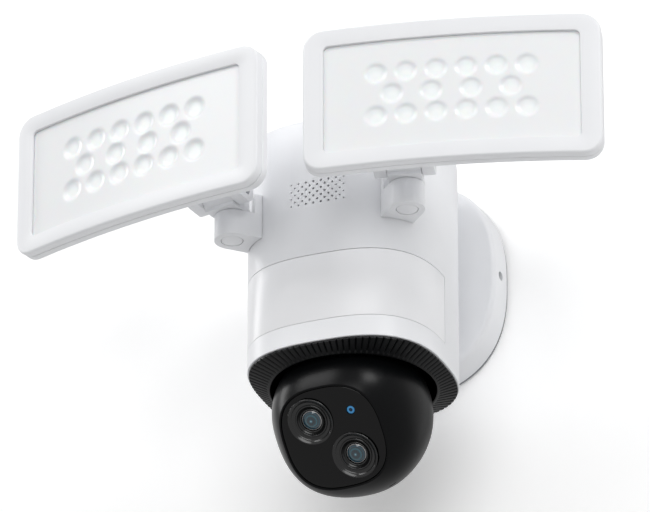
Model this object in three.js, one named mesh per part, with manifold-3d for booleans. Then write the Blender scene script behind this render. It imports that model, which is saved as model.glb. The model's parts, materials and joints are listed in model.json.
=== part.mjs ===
// Floodlight security camera: a wall base, a squircle housing, two tilting lamps on
// diagonal arms, and a ball head that pans and tilts under the housing.
//
// Millimetres, +Z up, the front faces -Y. The origin is on the wall face, at the middle
// of the wall bracket. Inside the housing group, Z counts from the housing's bottom edge
// and X = Y = 0 is the housing's own axis, which is also the axis that the head pans on.

import * as THREE from 'three';
import { mergeVertices } from 'three/addons/utils/BufferGeometryUtils.js';
import Module from 'manifold-3d';

const wasm = await Module();
wasm.setup();

// ---------------------------------------------------------------- driving dimensions

const FIT = 0.3;                      // gap between pieces that touch
const SWEEP = 0.6;                    // gap around pieces that turn

const housing = {
  half: 53,                           // half the width and half the depth
  exponent: 2.75,                     // squareness of the squircle outline
  height: 133,
  wall: 2.4,
  topRound: 3,
  bottomToMount: 81.4,                // bottom edge up to the mount's centre
};

const base = {
  half: 61.7,                         // half the width at the wall
  frontHalf: 60.4,                    // half the width at the front edge
  exponent: 2.6,
  depth: 18.4,                        // wall to front face
  wall: 2.6,
  edgeRound: 2.4,
  gasket: 1.6,
  gasketInset: 0.5,                   // how far the gasket stays inside the edge
  gasketWidth: 3.5,
  sideHole: 2.6,                      // radius of the side screw holes
};

const bracket = {
  height: 34,
  thickness: 2,
  insideBase: 3.4,                    // gap to the base's wall
  flangeHalf: 9,                      // half the height of the bent ends
  flangeBeyond: 3,                    // how far they reach past the side screws
  slotWidth: 5,
  slotLength: 18,
  slotSpacing: 70,                    // fits the ears of a standard junction box
};

const baseScrew = { radius: 1.4, headRadius: 2.2, headHeight: 2, reach: 5, hole: 1.7, washer: 0.4 };

// The pad between the housing and the wall base, and what passes through it.
const neck = { halfWidth: 24, bottom: 48, top: 116, standOff: 1.6, root: 8, cableHole: 9 };
const gland = { sleeve: 2, lip: 2, lipHeight: 1.6, bore: 6, proud: 2, looseness: 0.5 };
const mountScrew = { radius: 2, headRadius: 3.8, headHeight: 3, hole: 2.4, fromMiddle: 22 };

const motionWindow = { bottom: 11.7, top: 51.2, thickness: 1.7, aheadOfAxis: 2.6 };

const grille = {
  centre: 88.3,                       // height above the housing's bottom edge
  columns: 15,
  columnPitch: 2.13,
  rowPitch: 4.25,
  longColumn: 4,
  shortColumn: 3,
  middleRadius: 0.68,
  endRadius: 0.42,
  sides: 4,
};

// The round well in the housing's floor that the ball turns in.
const well = { gap: 2, headroom: 4, wall: 1.8, plate: 2.4, stemHole: 12.5, flange: 2, seat: 0.2 };

const ring = { drop: 5.4, edge: 0.9, lip: 0.7, lipHeight: 0.4 };

const ball = {
  radius: 42.3,
  stretch: 2.7,                       // how much longer the front half is than a sphere
  drop: 20.3,                         // centre below the housing's bottom edge
  wall: 2,
  faceTilt: 43.6,                     // degrees that the face looks down at rest
  facePan: -4.8,                      // degrees that the face is turned aside at rest
  coverBehind: 17,                    // the rear cover starts this far behind the centre
  slotWidth: 17,
  slotStart: 68,                      // degrees from the face axis to the slot's front end
  slotDepth: 12.3,                    // how far the slot's cut goes in from the surface
  slotRise: 6,                        // how far below the centre it ends at the back
  boss: 5,                            // radius of the bosses that the axle pins sit in
};

const face = {
  half: 27.6,
  exponent: 2.67,
  rim: 1.26,                          // what is left of the ball's outline round the plate
  thickness: 2.4,
  crown: 1.4,
  edge: 0.5,                          // height of the plate's soft edge
  ledge: 2.4,                         // width of the step that the plate sits on
  ledgeThickness: 2,
};

const lens = {
  wideAt: [-9.2, 11.3],
  teleAt: [9.2, -11.3],
  bezelRadius: 11.8,
  ringRadius: 8,
  glassRadius: 5.3,
  barrelRadius: 7.4,
  barrelStep: 1.4,                    // how much slimmer the barrel's rear part is
  barrelLength: 12,
  proud: 0.5,                         // how far the bezels stand ahead of the face
  seat: 4.2,                          // how far they reach into the head
};

const cameraBoard = { fromYoke: 3.5, corner: 6, thickness: 1.6, chipHalf: 8, chipHeight: 2 };

const statusLight = { at: [14.4, 12.9], outer: 2.1, inner: 1.05, length: 4, proud: 0.3 };

const panDrive = { gearTeeth: 44, pinionTeeth: 12, module: 1, gearHeight: 4 };
const tiltDrive = { gearTeeth: 26, pinionTeeth: 10, module: 0.8, gearWidth: 3 };

const panMotor = { radius: 14, height: 19, gap: 1.6 };
const motorEar = { half: 21, depth: 3.5, thickness: 1, screwAt: 17.5 };
const tiltMotor = { radius: 8, length: 14, collar: 0.5, shaftHole: 4.6, at: 40 };

const yokeArm = {
  fromShell: 15.8,                    // the ball's inner wall to the arms' inner faces
  beamBelowTop: 19.8,                 // the ball's top to the underside of the beam
  thickness: 3,
  boss: 6.5,
  beamThickness: 3.2,
  depth: 12,
  wireBore: 3,
};
const axlePin = { radius: 2.2, fromSurface: 7.3, headRadius: 3.8, headHeight: 2.7 };

const arm = {
  beyondCorner: 12.046,               // housing corner to swivel axis, along the diagonal
  root: 14,                           // how far the arm runs in under the corner
  radius: 9.5,
  bottom: 69.4,
  thickness: 14.3,
  collar: 11.3,                       // how far the part behind the neck rises
  collarBack: 9,                      // and how far behind the swivel axis it starts
  capRadius: 5.7,
  capThickness: 1.8,
  pocket: 5.3,                        // depth of the recess that the cap closes
  boreRadius: 4.3,
};

const hinge = {
  aboveArm: 7.3,                      // arm's top to hinge axis
  lugGap: 0.2875,                     // the lugs to the neck's round foot
  foot: 3,                            // thickness of the neck's round foot
  webTop: 4,
  webBack: 3,
  barrelRadius: 6,
  knuckleHalf: 9,
  lugThickness: 7,
  pinRadius: 1.9,
  pinInset: 0.6,                      // how far the pin's ends stay inside the lugs
};

const pivotScrew = { radius: 1.3, headRadius: 5.3, headHeight: 2.1, hole: 1.6 };

const lamp = {
  width: 157.8,
  height: 82.7,
  corner: 10.3,
  bow: 5.8,                           // how far the middle stands ahead of the ends
  depth: 10.6,
  frameDepth: 5,
  frameLip: 1.6,
  wall: 2.2,
  marginSide: 11,
  marginTop: 10,
  marginBottom: 9.4,
  yaw: 13.4,                          // degrees that each lamp is turned outward at rest
  inward: 49,                         // hinge centre to the lamp's inner end
  below: 19.85,                       // hinge axis to the lamp's bottom edge
  podToHinge: 20.9,                   // the pod's back to the hinge axis
  backWall: 1.8,
  windowCorner: 4,
  diffuserThickness: 1.6,
  diffuserEdge: 3,                    // how far the diffuser reaches behind the frame
  podWidth: 64,
  podHeight: 40,
  podDepth: 12,
  podCorner: 8,
  podRoot: 0.9,
  bridgeBottom: 2,
  bridgeTop: 22,
};

const led = {
  rows: [6, 4, 6],
  pitch: 16,
  middlePitch: 21,
  rowPitch: 12.6,
  domeRadius: 6.2,
  domeHeight: 2.4,
  boardThickness: 1.2,
  boardInset: 2,                      // gap to the lamp's wall
};

const speakerSize = { radius: 18, depth: 13, gap: 1.6 };

const powerBoard = { fromRear: 13, half: 29, bottom: 68, top: 124, thickness: 1.6, post: 2.6 };
const powerPosts = [[-25, 72], [25, 72], [-25, 120], [25, 120]];
const mainBoard = { height: 60, half: 31, front: -30, back: 17, thickness: 1.6, post: 2.6 };
const mainPosts = [[26, -24], [-26, -24], [27, 12], [-27, 12]];
const sensorBoard = { fromWellEdge: 5.4, half: 22, thickness: 1.6, above: 10, over: 9 };
const sensorCan = { radius: 4.6, length: 4, places: [-15, 0, 15] };
const antenna = { half: 21, front: -24, back: -14, thickness: 1.6 };

// ---------------------------------------------------------------- sizes that follow

const housingCorner = housing.half * 2 ** (1 / 2 - 1 / housing.exponent);
const axisToWall = housing.half + neck.standOff + base.depth;
const sideScrewDepth = (base.gasket + FIT + base.depth) / 2;
const bracketHalf = base.half - base.wall - bracket.insideBase;

const wellRadius = ball.radius + well.gap;
const wellOuter = wellRadius + FIT + well.wall;
const wellCeiling = ball.radius - ball.drop + well.headroom;
const plateTop = wellCeiling + well.plate;

const ballReach = ball.radius + ball.stretch;
const faceDepth = ballReach * Math.sqrt(1 - ((face.half + face.rim) / ball.radius) ** 2);
const yokeInside = ball.radius - ball.wall - yokeArm.fromShell;
const yokeOutside = yokeInside + yokeArm.thickness;
const beamBottom = ball.radius - yokeArm.beamBelowTop;
const axlePinEnd = ball.radius - axlePin.fromSurface;

const armTop = arm.bottom + arm.thickness;
const armLedge = arm.bottom + arm.pocket;
const collarTop = armTop + arm.collar;
const swivelDiagonal = (housingCorner + arm.beyondCorner) / Math.SQRT2;
const hingeHeight = armTop + hinge.aboveArm;
const lugInner = hinge.knuckleHalf + FIT;
const lugOuter = lugInner + hinge.lugThickness;
const lugBack = Math.sqrt(Math.max(0, (arm.radius + hinge.lugGap) ** 2 - lugInner ** 2));
const hingeForward = hinge.barrelRadius + lugBack;
const lampOutward = lamp.width / 2 - lamp.inward;
const lampUpward = lamp.height / 2 - lamp.below;
const lampAhead = lamp.podToHinge + lamp.podDepth + lamp.depth;

// ---------------------------------------------------------------- shape helpers

// Turns a closed three.js geometry into a solid that can be joined and cut.
function solidOf(geometry) {
  geometry.deleteAttribute('normal');
  geometry.deleteAttribute('uv');
  const merged = mergeVertices(geometry, 1e-4);
  const mesh = new wasm.Mesh({
    numProp: 3,
    vertProperties: new Float32Array(merged.attributes.position.array),
    triVerts: new Uint32Array(merged.index.array),
  });
  return new wasm.Manifold(mesh);
}

function geometryOf(solid) {
  const mesh = solid.getMesh();
  const geometry = new THREE.BufferGeometry();
  geometry.setAttribute('position', new THREE.BufferAttribute(new Float32Array(mesh.vertProperties), 3));
  geometry.setIndex(new THREE.BufferAttribute(new Uint32Array(mesh.triVerts), 1));
  geometry.computeVertexNormals();
  return geometry;
}

const join = (...solids) => solids.reduce((whole, solid) => whole.add(solid));
const cut = (whole, ...tools) => tools.reduce((rest, tool) => rest.subtract(tool), whole);
const common = (first, second) => first.intersect(second);

const radians = THREE.MathUtils.degToRad;

// A box given by its lowest and highest corners.
function block(low, high) {
  const size = high.map((value, i) => value - low[i]);
  const geometry = new THREE.BoxGeometry(...size);
  geometry.translate(...high.map((value, i) => (value + low[i]) / 2));
  return solidOf(geometry);
}

// Turns a geometry that stands along +Z so that it lies along another axis.
function along(axis, geometry) {
  if (axis === 'x') geometry.rotateY(Math.PI / 2);
  if (axis === 'y') geometry.rotateX(-Math.PI / 2);
  return geometry;
}

// A rod from one place to another along an axis.
function rod(axis, radius, from, to, [u, v] = [0, 0], sides = 24) {
  const geometry = new THREE.CylinderGeometry(radius, radius, to - from, sides);
  geometry.rotateX(Math.PI / 2);
  geometry.translate(0, 0, (from + to) / 2);
  along(axis, geometry);
  const at = { x: [0, u, v], y: [u, 0, v], z: [u, v, 0] }[axis];
  geometry.translate(...at);
  return solidOf(geometry);
}

// A solid turned about an axis from a closed profile of [radius, position] points.
function turned(profile, { axis = 'z', at = [0, 0, 0], sides = 32 } = {}) {
  const points = profile.map(([radius, position]) => new THREE.Vector2(radius, position));
  const geometry = new THREE.LatheGeometry([...points, points[0].clone()], sides);
  geometry.rotateX(Math.PI / 2);
  along(axis, geometry);
  geometry.translate(...at);
  return outward(solidOf(geometry), geometry);
}

// A lathe profile may be listed either way round, so an inside-out solid is flipped.
function outward(solid, geometry) {
  if (solid.volume() > 0) return solid;
  const index = geometry.index.array;
  for (let i = 0; i < index.length; i += 3) {
    [index[i], index[i + 1]] = [index[i + 1], index[i]];
  }
  return solidOf(geometry);
}

// A flat outline drawn in XY, raised from one height to another.
function prism(shape, from, to, curveSegments = 8) {
  const options = { depth: to - from, bevelEnabled: false, curveSegments };
  const geometry = new THREE.ExtrudeGeometry(shape, options);
  geometry.translate(0, 0, from);
  return solidOf(geometry);
}

// A flat outline drawn as seen from the front, X across and Z up, running from front to back.
function frontPrism(shape, front, back, curveSegments = 8) {
  const options = { depth: back - front, bevelEnabled: false, curveSegments };
  const geometry = new THREE.ExtrudeGeometry(shape, options);
  geometry.rotateX(Math.PI / 2);
  geometry.translate(0, back, 0);
  return solidOf(geometry);
}

// A flat outline drawn as seen from the side, Y across and Z up, running from one X to another.
function sidePrism(shape, from, to, curveSegments = 8) {
  const options = { depth: to - from, bevelEnabled: false, curveSegments };
  const geometry = new THREE.ExtrudeGeometry(shape, options);
  geometry.rotateX(Math.PI / 2);
  geometry.rotateZ(Math.PI / 2);
  geometry.translate(from, 0, 0);
  return solidOf(geometry);
}

const OUTLINE_SIDES = 40;             // facets round the housing and the wall base

// One point of a superellipse, at an angle round it.
function squirclePoint(half, exponent, angle) {
  const round = (value) => Math.sign(value) * Math.abs(value) ** (2 / exponent);
  return [half * round(Math.cos(angle)), half * round(Math.sin(angle))];
}

function squircle(half, exponent, count = OUTLINE_SIDES) {
  const points = [];
  for (let i = 0; i < count; i += 1) {
    points.push(squirclePoint(half, exponent, (i * 2 * Math.PI) / count));
  }
  return points;
}

// Skins a stack of outlines of equal point count. An open stack gets flat ends, and a
// closed one joins its last outline to its first, which makes a ring.
function skinned(outlines, closed = false) {
  const count = outlines[0].length;
  const positions = outlines.flat(2);
  const index = [];
  const levels = closed ? outlines.length : outlines.length - 1;
  for (let level = 0; level < levels; level += 1) {
    const lower = level * count;
    const upper = ((level + 1) % outlines.length) * count;
    for (let i = 0; i < count; i += 1) {
      const next = (i + 1) % count;
      index.push(lower + i, lower + next, upper + next);
      index.push(lower + i, upper + next, upper + i);
    }
  }
  if (!closed) {
    const last = (outlines.length - 1) * count;
    for (let i = 1; i < count - 1; i += 1) {
      index.push(0, i + 1, i);
      index.push(last, last + i, last + i + 1);
    }
  }
  const geometry = new THREE.BufferGeometry();
  geometry.setAttribute('position', new THREE.Float32BufferAttribute(positions, 3));
  geometry.setIndex(index);
  return outward(solidOf(geometry), geometry);
}

const atHeight = (outline, z) => outline.map(([x, y]) => [x, y, z]);
const atDepth = (outline, y) => outline.map(([x, z]) => [x, y, z]);

// A rectangle with round corners, centred on a point.
function roundedRectangle(width, height, radius, [cx, cy] = [0, 0]) {
  const shape = new THREE.Shape();
  const right = cx + width / 2 - radius;
  const left = cx - width / 2 + radius;
  const top = cy + height / 2 - radius;
  const bottom = cy - height / 2 + radius;
  shape.absarc(right, bottom, radius, -Math.PI / 2, 0);
  shape.absarc(right, top, radius, 0, Math.PI / 2);
  shape.absarc(left, top, radius, Math.PI / 2, Math.PI);
  shape.absarc(left, bottom, radius, Math.PI, Math.PI * 1.5);
  shape.closePath();
  return shape;
}

// A spur gear outline. Tooth 0 points along the given angle.
function gearShape(teeth, module, pointing) {
  const pitch = (teeth * module) / 2;
  const root = pitch - 1.15 * module;
  const tip = pitch + 0.8 * module;
  const shape = new THREE.Shape();
  const step = (2 * Math.PI) / teeth;
  const flank = [[-0.29, root], [-0.1, tip], [0.1, tip], [0.29, root]];
  for (let tooth = 0; tooth < teeth; tooth += 1) {
    for (const [share, radius] of flank) {
      const angle = pointing + (tooth + share) * step;
      const point = [radius * Math.cos(angle), radius * Math.sin(angle)];
      if (tooth === 0 && share === flank[0][0]) shape.moveTo(...point);
      else shape.lineTo(...point);
    }
  }
  shape.closePath();
  return shape;
}

function withRoundHole(shape, radius, [x, y] = [0, 0]) {
  const hole = new THREE.Path();
  hole.absarc(x, y, radius, 0, 2 * Math.PI, true);
  shape.holes.push(hole);
  return shape;
}

// ---------------------------------------------------------------- materials

const finish = (color, roughness, metalness = 0) => ({ color, roughness, metalness });

const finishes = {
  whitePlastic: finish(0xeeeef0, 0.42),
  windowPlastic: finish(0xdcdde0, 0.3),
  warmPlastic: finish(0xe6e6e8, 0.5),
  blackSatin: finish(0x232427, 0.45),
  blackGloss: finish(0x0c0c0e, 0.08),
  diffuser: finish(0xf4f5f7, 0.35),
  steel: finish(0xa9adb1, 0.35, 1),
  zinc: finish(0xc2c6ca, 0.4, 1),
  rubber: finish(0x9a9c9f, 0.8),
  darkRubber: finish(0x2a2a2c, 0.85),
  board: finish(0x1d5a38, 0.5),
  whiteBoard: finish(0xe9eaea, 0.4),
  acetal: finish(0xf2efe6, 0.5),
  brass: finish(0xb8964e, 0.35, 1),
  glass: finish(0x1b3440, 0.03),
  blueLight: finish(0x3f8fd0, 0.25),
};

const device = new THREE.Group();

function piece(name, solid, finishName, parent) {
  const mesh = new THREE.Mesh(geometryOf(solid), new THREE.MeshStandardMaterial(finishes[finishName]));
  mesh.name = name;
  parent.add(mesh);
  return mesh;
}

// ---------------------------------------------------------------- groups

const housingGroup = new THREE.Group();
housingGroup.position.set(0, -axisToWall, -housing.bottomToMount);
device.add(housingGroup);

const ballGroup = new THREE.Group();
ballGroup.position.set(0, 0, -ball.drop);
ballGroup.rotation.z = radians(ball.facePan);
housingGroup.add(ballGroup);

const headGroup = new THREE.Group();
headGroup.rotation.x = radians(ball.faceTilt);
ballGroup.add(headGroup);

// ---------------------------------------------------------------- wall base
// These pieces are placed from the wall, so Y = 0 is the wall and the front is negative.

function baseOutline(inset, y) {
  const share = -y / base.depth;
  const half = base.half + (base.frontHalf - base.half) * share - inset;
  return atDepth(squircle(half, base.exponent), y);
}

const neckHoleHeight = (neck.bottom + neck.top) / 2 - housing.bottomToMount;
const screwSpots = [-1, 1].map((side) => neckHoleHeight + side * mountScrew.fromMiddle);

function makeWallBase() {
  const back = -base.gasket - FIT;
  const front = -base.depth;
  const shoulder = front + base.edgeRound;
  const outer = skinned([
    baseOutline(0, back),
    baseOutline(0, shoulder),
    baseOutline(base.edgeRound * 0.3, front + base.edgeRound * 0.3),
    baseOutline(base.edgeRound, front),
  ]);
  const inner = skinned([
    baseOutline(base.wall, back + 1),
    baseOutline(base.wall, front + base.wall),
  ]);
  const through = [front - 1, front + base.wall + 1];
  const cableHole = rod('y', neck.cableHole + gland.sleeve, ...through, [0, neckHoleHeight]);
  const screwHoles = screwSpots.map((z) => rod('y', mountScrew.hole, ...through, [0, z], 12));
  const sideHoles = rod('x', base.sideHole, -base.half - 2, base.half + 2, [-sideScrewDepth, 0], 16);
  piece('wall_base', cut(outer, inner, cableHole, sideHoles, ...screwHoles), 'whitePlastic', device);
}

function makeBaseGasket() {
  const solid = skinned([
    baseOutline(base.gasketInset, -base.gasket),
    baseOutline(base.gasketInset, 0),
    baseOutline(base.gasketInset + base.gasketWidth, 0),
    baseOutline(base.gasketInset + base.gasketWidth, -base.gasket),
  ], true);
  piece('base_gasket', solid, 'rubber', device);
}

// A pair of places on one side, the lower first.
const span = (side, from, to) => [Math.min(side * from, side * to), Math.max(side * from, side * to)];

function makeWallBracket() {
  const { height, thickness, flangeHalf, slotSpacing, slotLength, slotWidth } = bracket;
  const plate = block([-bracketHalf, -thickness, -height / 2], [bracketHalf, 0, height / 2]);
  const flangeDepth = sideScrewDepth + bracket.flangeBeyond;
  const flangeFor = (side) => {
    const [low, high] = span(side, bracketHalf - thickness, bracketHalf);
    return block([low, -flangeDepth, -flangeHalf], [high, 0, flangeHalf]);
  };
  const slotFor = (side) => {
    const centre = [(side * slotSpacing) / 2, 0];
    const shape = roundedRectangle(slotLength, slotWidth, slotWidth / 2 - 0.01, centre);
    return frontPrism(shape, -thickness - 1, 1, 3);
  };
  const hole = rod('x', baseScrew.hole, -bracketHalf - 1, bracketHalf + 1, [-sideScrewDepth, 0], 12);
  const solid = join(plate, flangeFor(-1), flangeFor(1));
  piece('wall_bracket', cut(solid, slotFor(-1), slotFor(1), hole), 'zinc', device);
}

function makeBaseScrew(name, side) {
  const head = bracketHalf + baseScrew.washer;
  const centre = [-sideScrewDepth, 0];
  const tip = bracketHalf - baseScrew.reach;
  const shank = rod('x', baseScrew.radius, ...span(side, tip, head + 0.2), centre, 12);
  const cap = rod('x', baseScrew.headRadius, ...span(side, head, head + baseScrew.headHeight), centre, 16);
  piece(name, join(shank, cap), 'steel', device);
}

function makeCableGland() {
  const front = -base.depth - gland.proud;
  const inside = -base.depth + base.wall + FIT;
  const sleeve = neck.cableHole + gland.sleeve - FIT;
  const lip = neck.cableHole + gland.sleeve + gland.lip;
  const solid = turned([
    [gland.bore, front],
    [sleeve, front],
    [sleeve, inside],
    [lip, inside],
    [lip, inside + gland.lipHeight],
    [gland.bore, inside + gland.lipHeight],
  ], { axis: 'y', at: [0, 0, neckHoleHeight], sides: 20 });
  piece('cable_gland', solid, 'darkRubber', device);
}

// ---------------------------------------------------------------- housing

function housingOutline(inset, z) {
  return atHeight(squircle(housing.half - inset, housing.exponent), z);
}

const powerBoardBack = housing.half - powerBoard.fromRear;

function grilleHoles() {
  const holes = [];
  const middle = (grille.columns - 1) / 2;
  for (let column = 0; column < grille.columns; column += 1) {
    const count = column % 2 === 0 ? grille.longColumn : grille.shortColumn;
    const share = Math.abs(column - middle) / middle;
    const radius = grille.middleRadius + (grille.endRadius - grille.middleRadius) * share ** 2;
    const x = (column - middle) * grille.columnPitch;
    for (let row = 0; row < count; row += 1) {
      const z = grille.centre + (row - (count - 1) / 2) * grille.rowPitch;
      holes.push(rod('y', radius, -housing.half - 1, -housing.half + housing.wall + 2, [x, z], grille.sides));
    }
  }
  return holes;
}

// The flat pad on the rear that the wall base bolts to.
function neckBoss() {
  const back = axisToWall - base.depth - FIT;
  return block(
    [-neck.halfWidth, housing.half - neck.root, neck.bottom],
    [neck.halfWidth, back, neck.top],
  );
}

function makeHousingShell() {
  const { height, topRound, wall } = housing;
  const outer = skinned([
    housingOutline(0, 0),
    housingOutline(0, height - topRound),
    housingOutline(topRound * 0.3, height - topRound * 0.3),
    housingOutline(topRound, height),
  ]);
  const inner = skinned([
    housingOutline(wall, -1),
    housingOutline(wall, height - wall),
  ]);
  const boss = neckBoss();
  const windowCut = block(
    [-housing.half - 1, -housing.half - 1, motionWindow.bottom],
    [housing.half + 1, -motionWindow.aheadOfAxis, motionWindow.top],
  );
  const rear = housing.half / 2;
  const glandRadius = neck.cableHole + gland.sleeve + gland.looseness;
  const glandHole = rod('y', glandRadius, rear, axisToWall, [0, (neck.bottom + neck.top) / 2]);
  const screwHoles = screwSpots.map(
    (z) => rod('y', mountScrew.hole, rear, axisToWall, [0, z + housing.bottomToMount], 12),
  );
  const shell = cut(join(outer, boss), inner);
  const posts = powerPosts.map(
    ([x, z]) => rod('y', powerBoard.post, powerBoardBack + FIT, housing.half - wall / 2, [x, z], 10),
  );
  const solid = cut(join(shell, ...posts), windowCut, glandHole, ...screwHoles, ...grilleHoles());
  piece('housing_shell', solid, 'whitePlastic', housingGroup);
}

function makeMountScrew(name, z) {
  const head = housing.half - housing.wall - 2 * FIT;
  const tip = axisToWall - base.depth + base.wall;
  const solid = join(
    rod('y', mountScrew.radius, head - 1, tip, [0, z], 12),
    rod('y', mountScrew.headRadius, head - mountScrew.headHeight, head, [0, z], 16),
  );
  piece(name, solid, 'steel', housingGroup);
}

function makeMotionWindow() {
  const low = motionWindow.bottom + FIT;
  const high = motionWindow.top - FIT;
  const outer = skinned([housingOutline(0, low), housingOutline(0, high)]);
  const inner = skinned([
    housingOutline(motionWindow.thickness, low - 1),
    housingOutline(motionWindow.thickness, high + 1),
  ]);
  const rear = block(
    [-housing.half - 1, -motionWindow.aheadOfAxis - FIT, low - 1],
    [housing.half + 1, housing.half + 1, high + 1],
  );
  piece('motion_window', cut(outer, inner, rear), 'windowPlastic', housingGroup);
}

const panPitch = ((panDrive.gearTeeth + panDrive.pinionTeeth) * panDrive.module) / 2;
const bearing = { inside: 2.5, width: 6, height: 2.4 };
const gearBottom = plateTop + bearing.height + FIT;
const gearTop = gearBottom + panDrive.gearHeight;
const motorSeat = gearTop + panMotor.gap;

function makeWellFrame() {
  const cup = turned([
    [wellRadius + FIT, -well.seat],
    [wellOuter, -well.seat],
    [wellOuter, plateTop],
    [well.stemHole, plateTop],
    [well.stemHole, wellCeiling],
    [wellRadius + FIT, wellCeiling],
  ], { sides: 30 });
  const flange = cut(
    skinned([
      housingOutline(housing.wall + FIT, -well.seat),
      housingOutline(housing.wall + FIT, well.flange),
    ]),
    rod('z', wellRadius + 3 * FIT, -1, well.flange + 1, [0, 0], 30),
  );
  const boardPosts = mainPosts.map(
    ([x, y]) => rod('z', mainBoard.post, plateTop - 1, mainBoard.height - FIT, [x, y], 10),
  );
  const motorPosts = [-motorEar.screwAt, motorEar.screwAt].map(
    (x) => rod('z', 3, plateTop - 1, motorSeat, [x, panPitch], 10),
  );
  piece('well_frame', join(cup, flange, ...boardPosts, ...motorPosts), 'blackSatin', housingGroup);
}

const RING_SIDES = 48;                // facets round the trim ring and its opening

function makeTrimRing() {
  const outline = (z) => atHeight(squircle(housing.half, housing.exponent, RING_SIDES), z);
  const circle = (radius, z) => atHeight(squircle(radius, 2, RING_SIDES), z);
  const top = -FIT - well.seat;
  const solid = skinned([
    outline(top),
    outline(top - ring.edge),
    circle(wellRadius + ring.lip, -ring.drop),
    circle(wellRadius, -ring.drop + ring.lipHeight),
    circle(wellRadius, top),
  ], true);
  piece('trim_ring', solid, 'blackSatin', housingGroup);
}

function makeSpeaker() {
  const { radius, depth, gap } = speakerSize;
  const front = -housing.half + housing.wall + gap;
  const magnet = radius * 0.6;
  const solid = turned([
    [0, front + depth * 0.38],
    [radius * 0.35, front + depth * 0.26],
    [radius * 0.8, front + depth * 0.06],
    [radius * 0.88, front],
    [radius, front],
    [radius, front + depth * 0.15],
    [radius * 0.86, front + depth * 0.23],
    [magnet, front + depth * 0.54],
    [magnet, front + depth],
    [0, front + depth],
  ], { axis: 'y', at: [0, 0, grille.centre], sides: 20 });
  piece('speaker', solid, 'blackSatin', housingGroup);
}

function makeMotionSensorBoard() {
  const { half, thickness, above, over } = sensorBoard;
  const y = -wellOuter + sensorBoard.fromWellEdge;
  const middle = (motionWindow.bottom + motionWindow.top) / 2 + above;
  const board = block([-half, y, plateTop + FIT], [half, y + thickness, middle + over]);
  const cans = sensorCan.places.map(
    (x) => rod('y', sensorCan.radius, y - sensorCan.length, y + 0.5, [x, middle], 16),
  );
  piece('motion_sensor_board', join(board, ...cans), 'board', housingGroup);
}

function makeMainBoard() {
  const { height: z, half, front, back, thickness } = mainBoard;
  const board = block([-half, front, z], [half, back, z + thickness]);
  const seat = z + thickness / 2;
  const processor = block([-10, -14, seat], [8, 4, z + 4]);
  const socket = block([-26, -8, seat], [-17, 8, z + 8]);
  const can = block([13, -24, seat], [28, -6, z + 4.4]);
  piece('main_board', join(board, processor, socket, can), 'board', housingGroup);
}

function makePowerBoard() {
  const back = powerBoardBack;
  const { half, bottom, top, thickness } = powerBoard;
  const seat = back - thickness / 2;
  const board = block([-half, back - thickness, bottom], [half, back, top]);
  const transformer = block([-20, back - 19, 96], [0, seat, 118]);
  const capacitor = rod('y', 6, back - 19, seat, [14, 110], 16);
  const choke = rod('y', 7, back - 11, seat, [14, 92], 16);
  const relay = block([-24, back - 15, 72], [-8, seat, 90]);
  const screwHoles = screwSpots.map((z) => {
    const centre = [0, z + housing.bottomToMount];
    return rod('y', mountScrew.headRadius + SWEEP, back / 2, back + 1, centre, 12);
  });
  const whole = join(board, transformer, capacitor, choke, relay);
  piece('power_board', cut(whole, ...screwHoles), 'board', housingGroup);
}

function makeAntenna() {
  const { half, front, back, thickness } = antenna;
  const top = housing.height - housing.wall - FIT;
  const board = block([-half, front, top - thickness], [half, back, top]);
  piece('wifi_antenna', board, 'whiteBoard', housingGroup);
}

// ---------------------------------------------------------------- pan drive

function makePanBearing() {
  const inner = well.stemHole + bearing.inside;
  const outer = inner + bearing.width;
  const solid = turned([
    [inner, plateTop + FIT],
    [outer, plateTop + FIT],
    [outer, gearBottom - FIT],
    [inner, gearBottom - FIT],
  ], { sides: 32 });
  piece('pan_bearing', solid, 'acetal', housingGroup);
}

function makePanMotor() {
  const { radius, height } = panMotor;
  const bottom = motorSeat + FIT;
  const can = rod('z', radius, bottom, bottom + height, [0, panPitch], 28);
  const ears = block(
    [-motorEar.half, panPitch - motorEar.depth, bottom],
    [motorEar.half, panPitch + motorEar.depth, bottom + motorEar.thickness],
  );
  piece('pan_motor', join(can, ears), 'steel', housingGroup);
}

// The pinion's shaft reaches up to the motor above it.
function makePanPinion() {
  const halfTooth = Math.PI / panDrive.pinionTeeth;
  const shape = gearShape(panDrive.pinionTeeth, panDrive.module, -Math.PI / 2 + halfTooth);
  const teeth = prism(shape, 0, panDrive.gearHeight);
  const shaft = rod('z', 1.5, panDrive.gearHeight - 1, panDrive.gearHeight + panMotor.gap, [0, 0], 12);
  const mesh = piece('pan_pinion', join(teeth, shaft), 'brass', housingGroup);
  mesh.position.set(0, panPitch, gearBottom);
}

const STEM_SIDES = 24;
const stem = { radius: 9.5, head: 13.5, flange: 2.4, bladeHalf: 6.6, bladeDepth: 4.6 };
const stemKey = { half: 2, height: 1.6 };

// A tooth points straight back, at the pinion, however the head is turned at rest.
function makePanGear() {
  const up = ball.drop;
  const shape = gearShape(panDrive.gearTeeth, panDrive.module, Math.PI / 2 - radians(ball.facePan));
  const gear = prism(shape, gearBottom + up, gearTop + up);
  const bore = rod('z', stem.radius + FIT, gearBottom + up - 1, gearTop + up + 1, [0, 0], STEM_SIDES);
  const keyway = block(
    [-stemKey.half - FIT, 0, gearBottom + up - 1],
    [stemKey.half + FIT, stem.radius + stemKey.height + FIT, gearTop + up + 1],
  );
  piece('pan_gear', cut(gear, bore, keyway), 'acetal', ballGroup);
}

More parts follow.
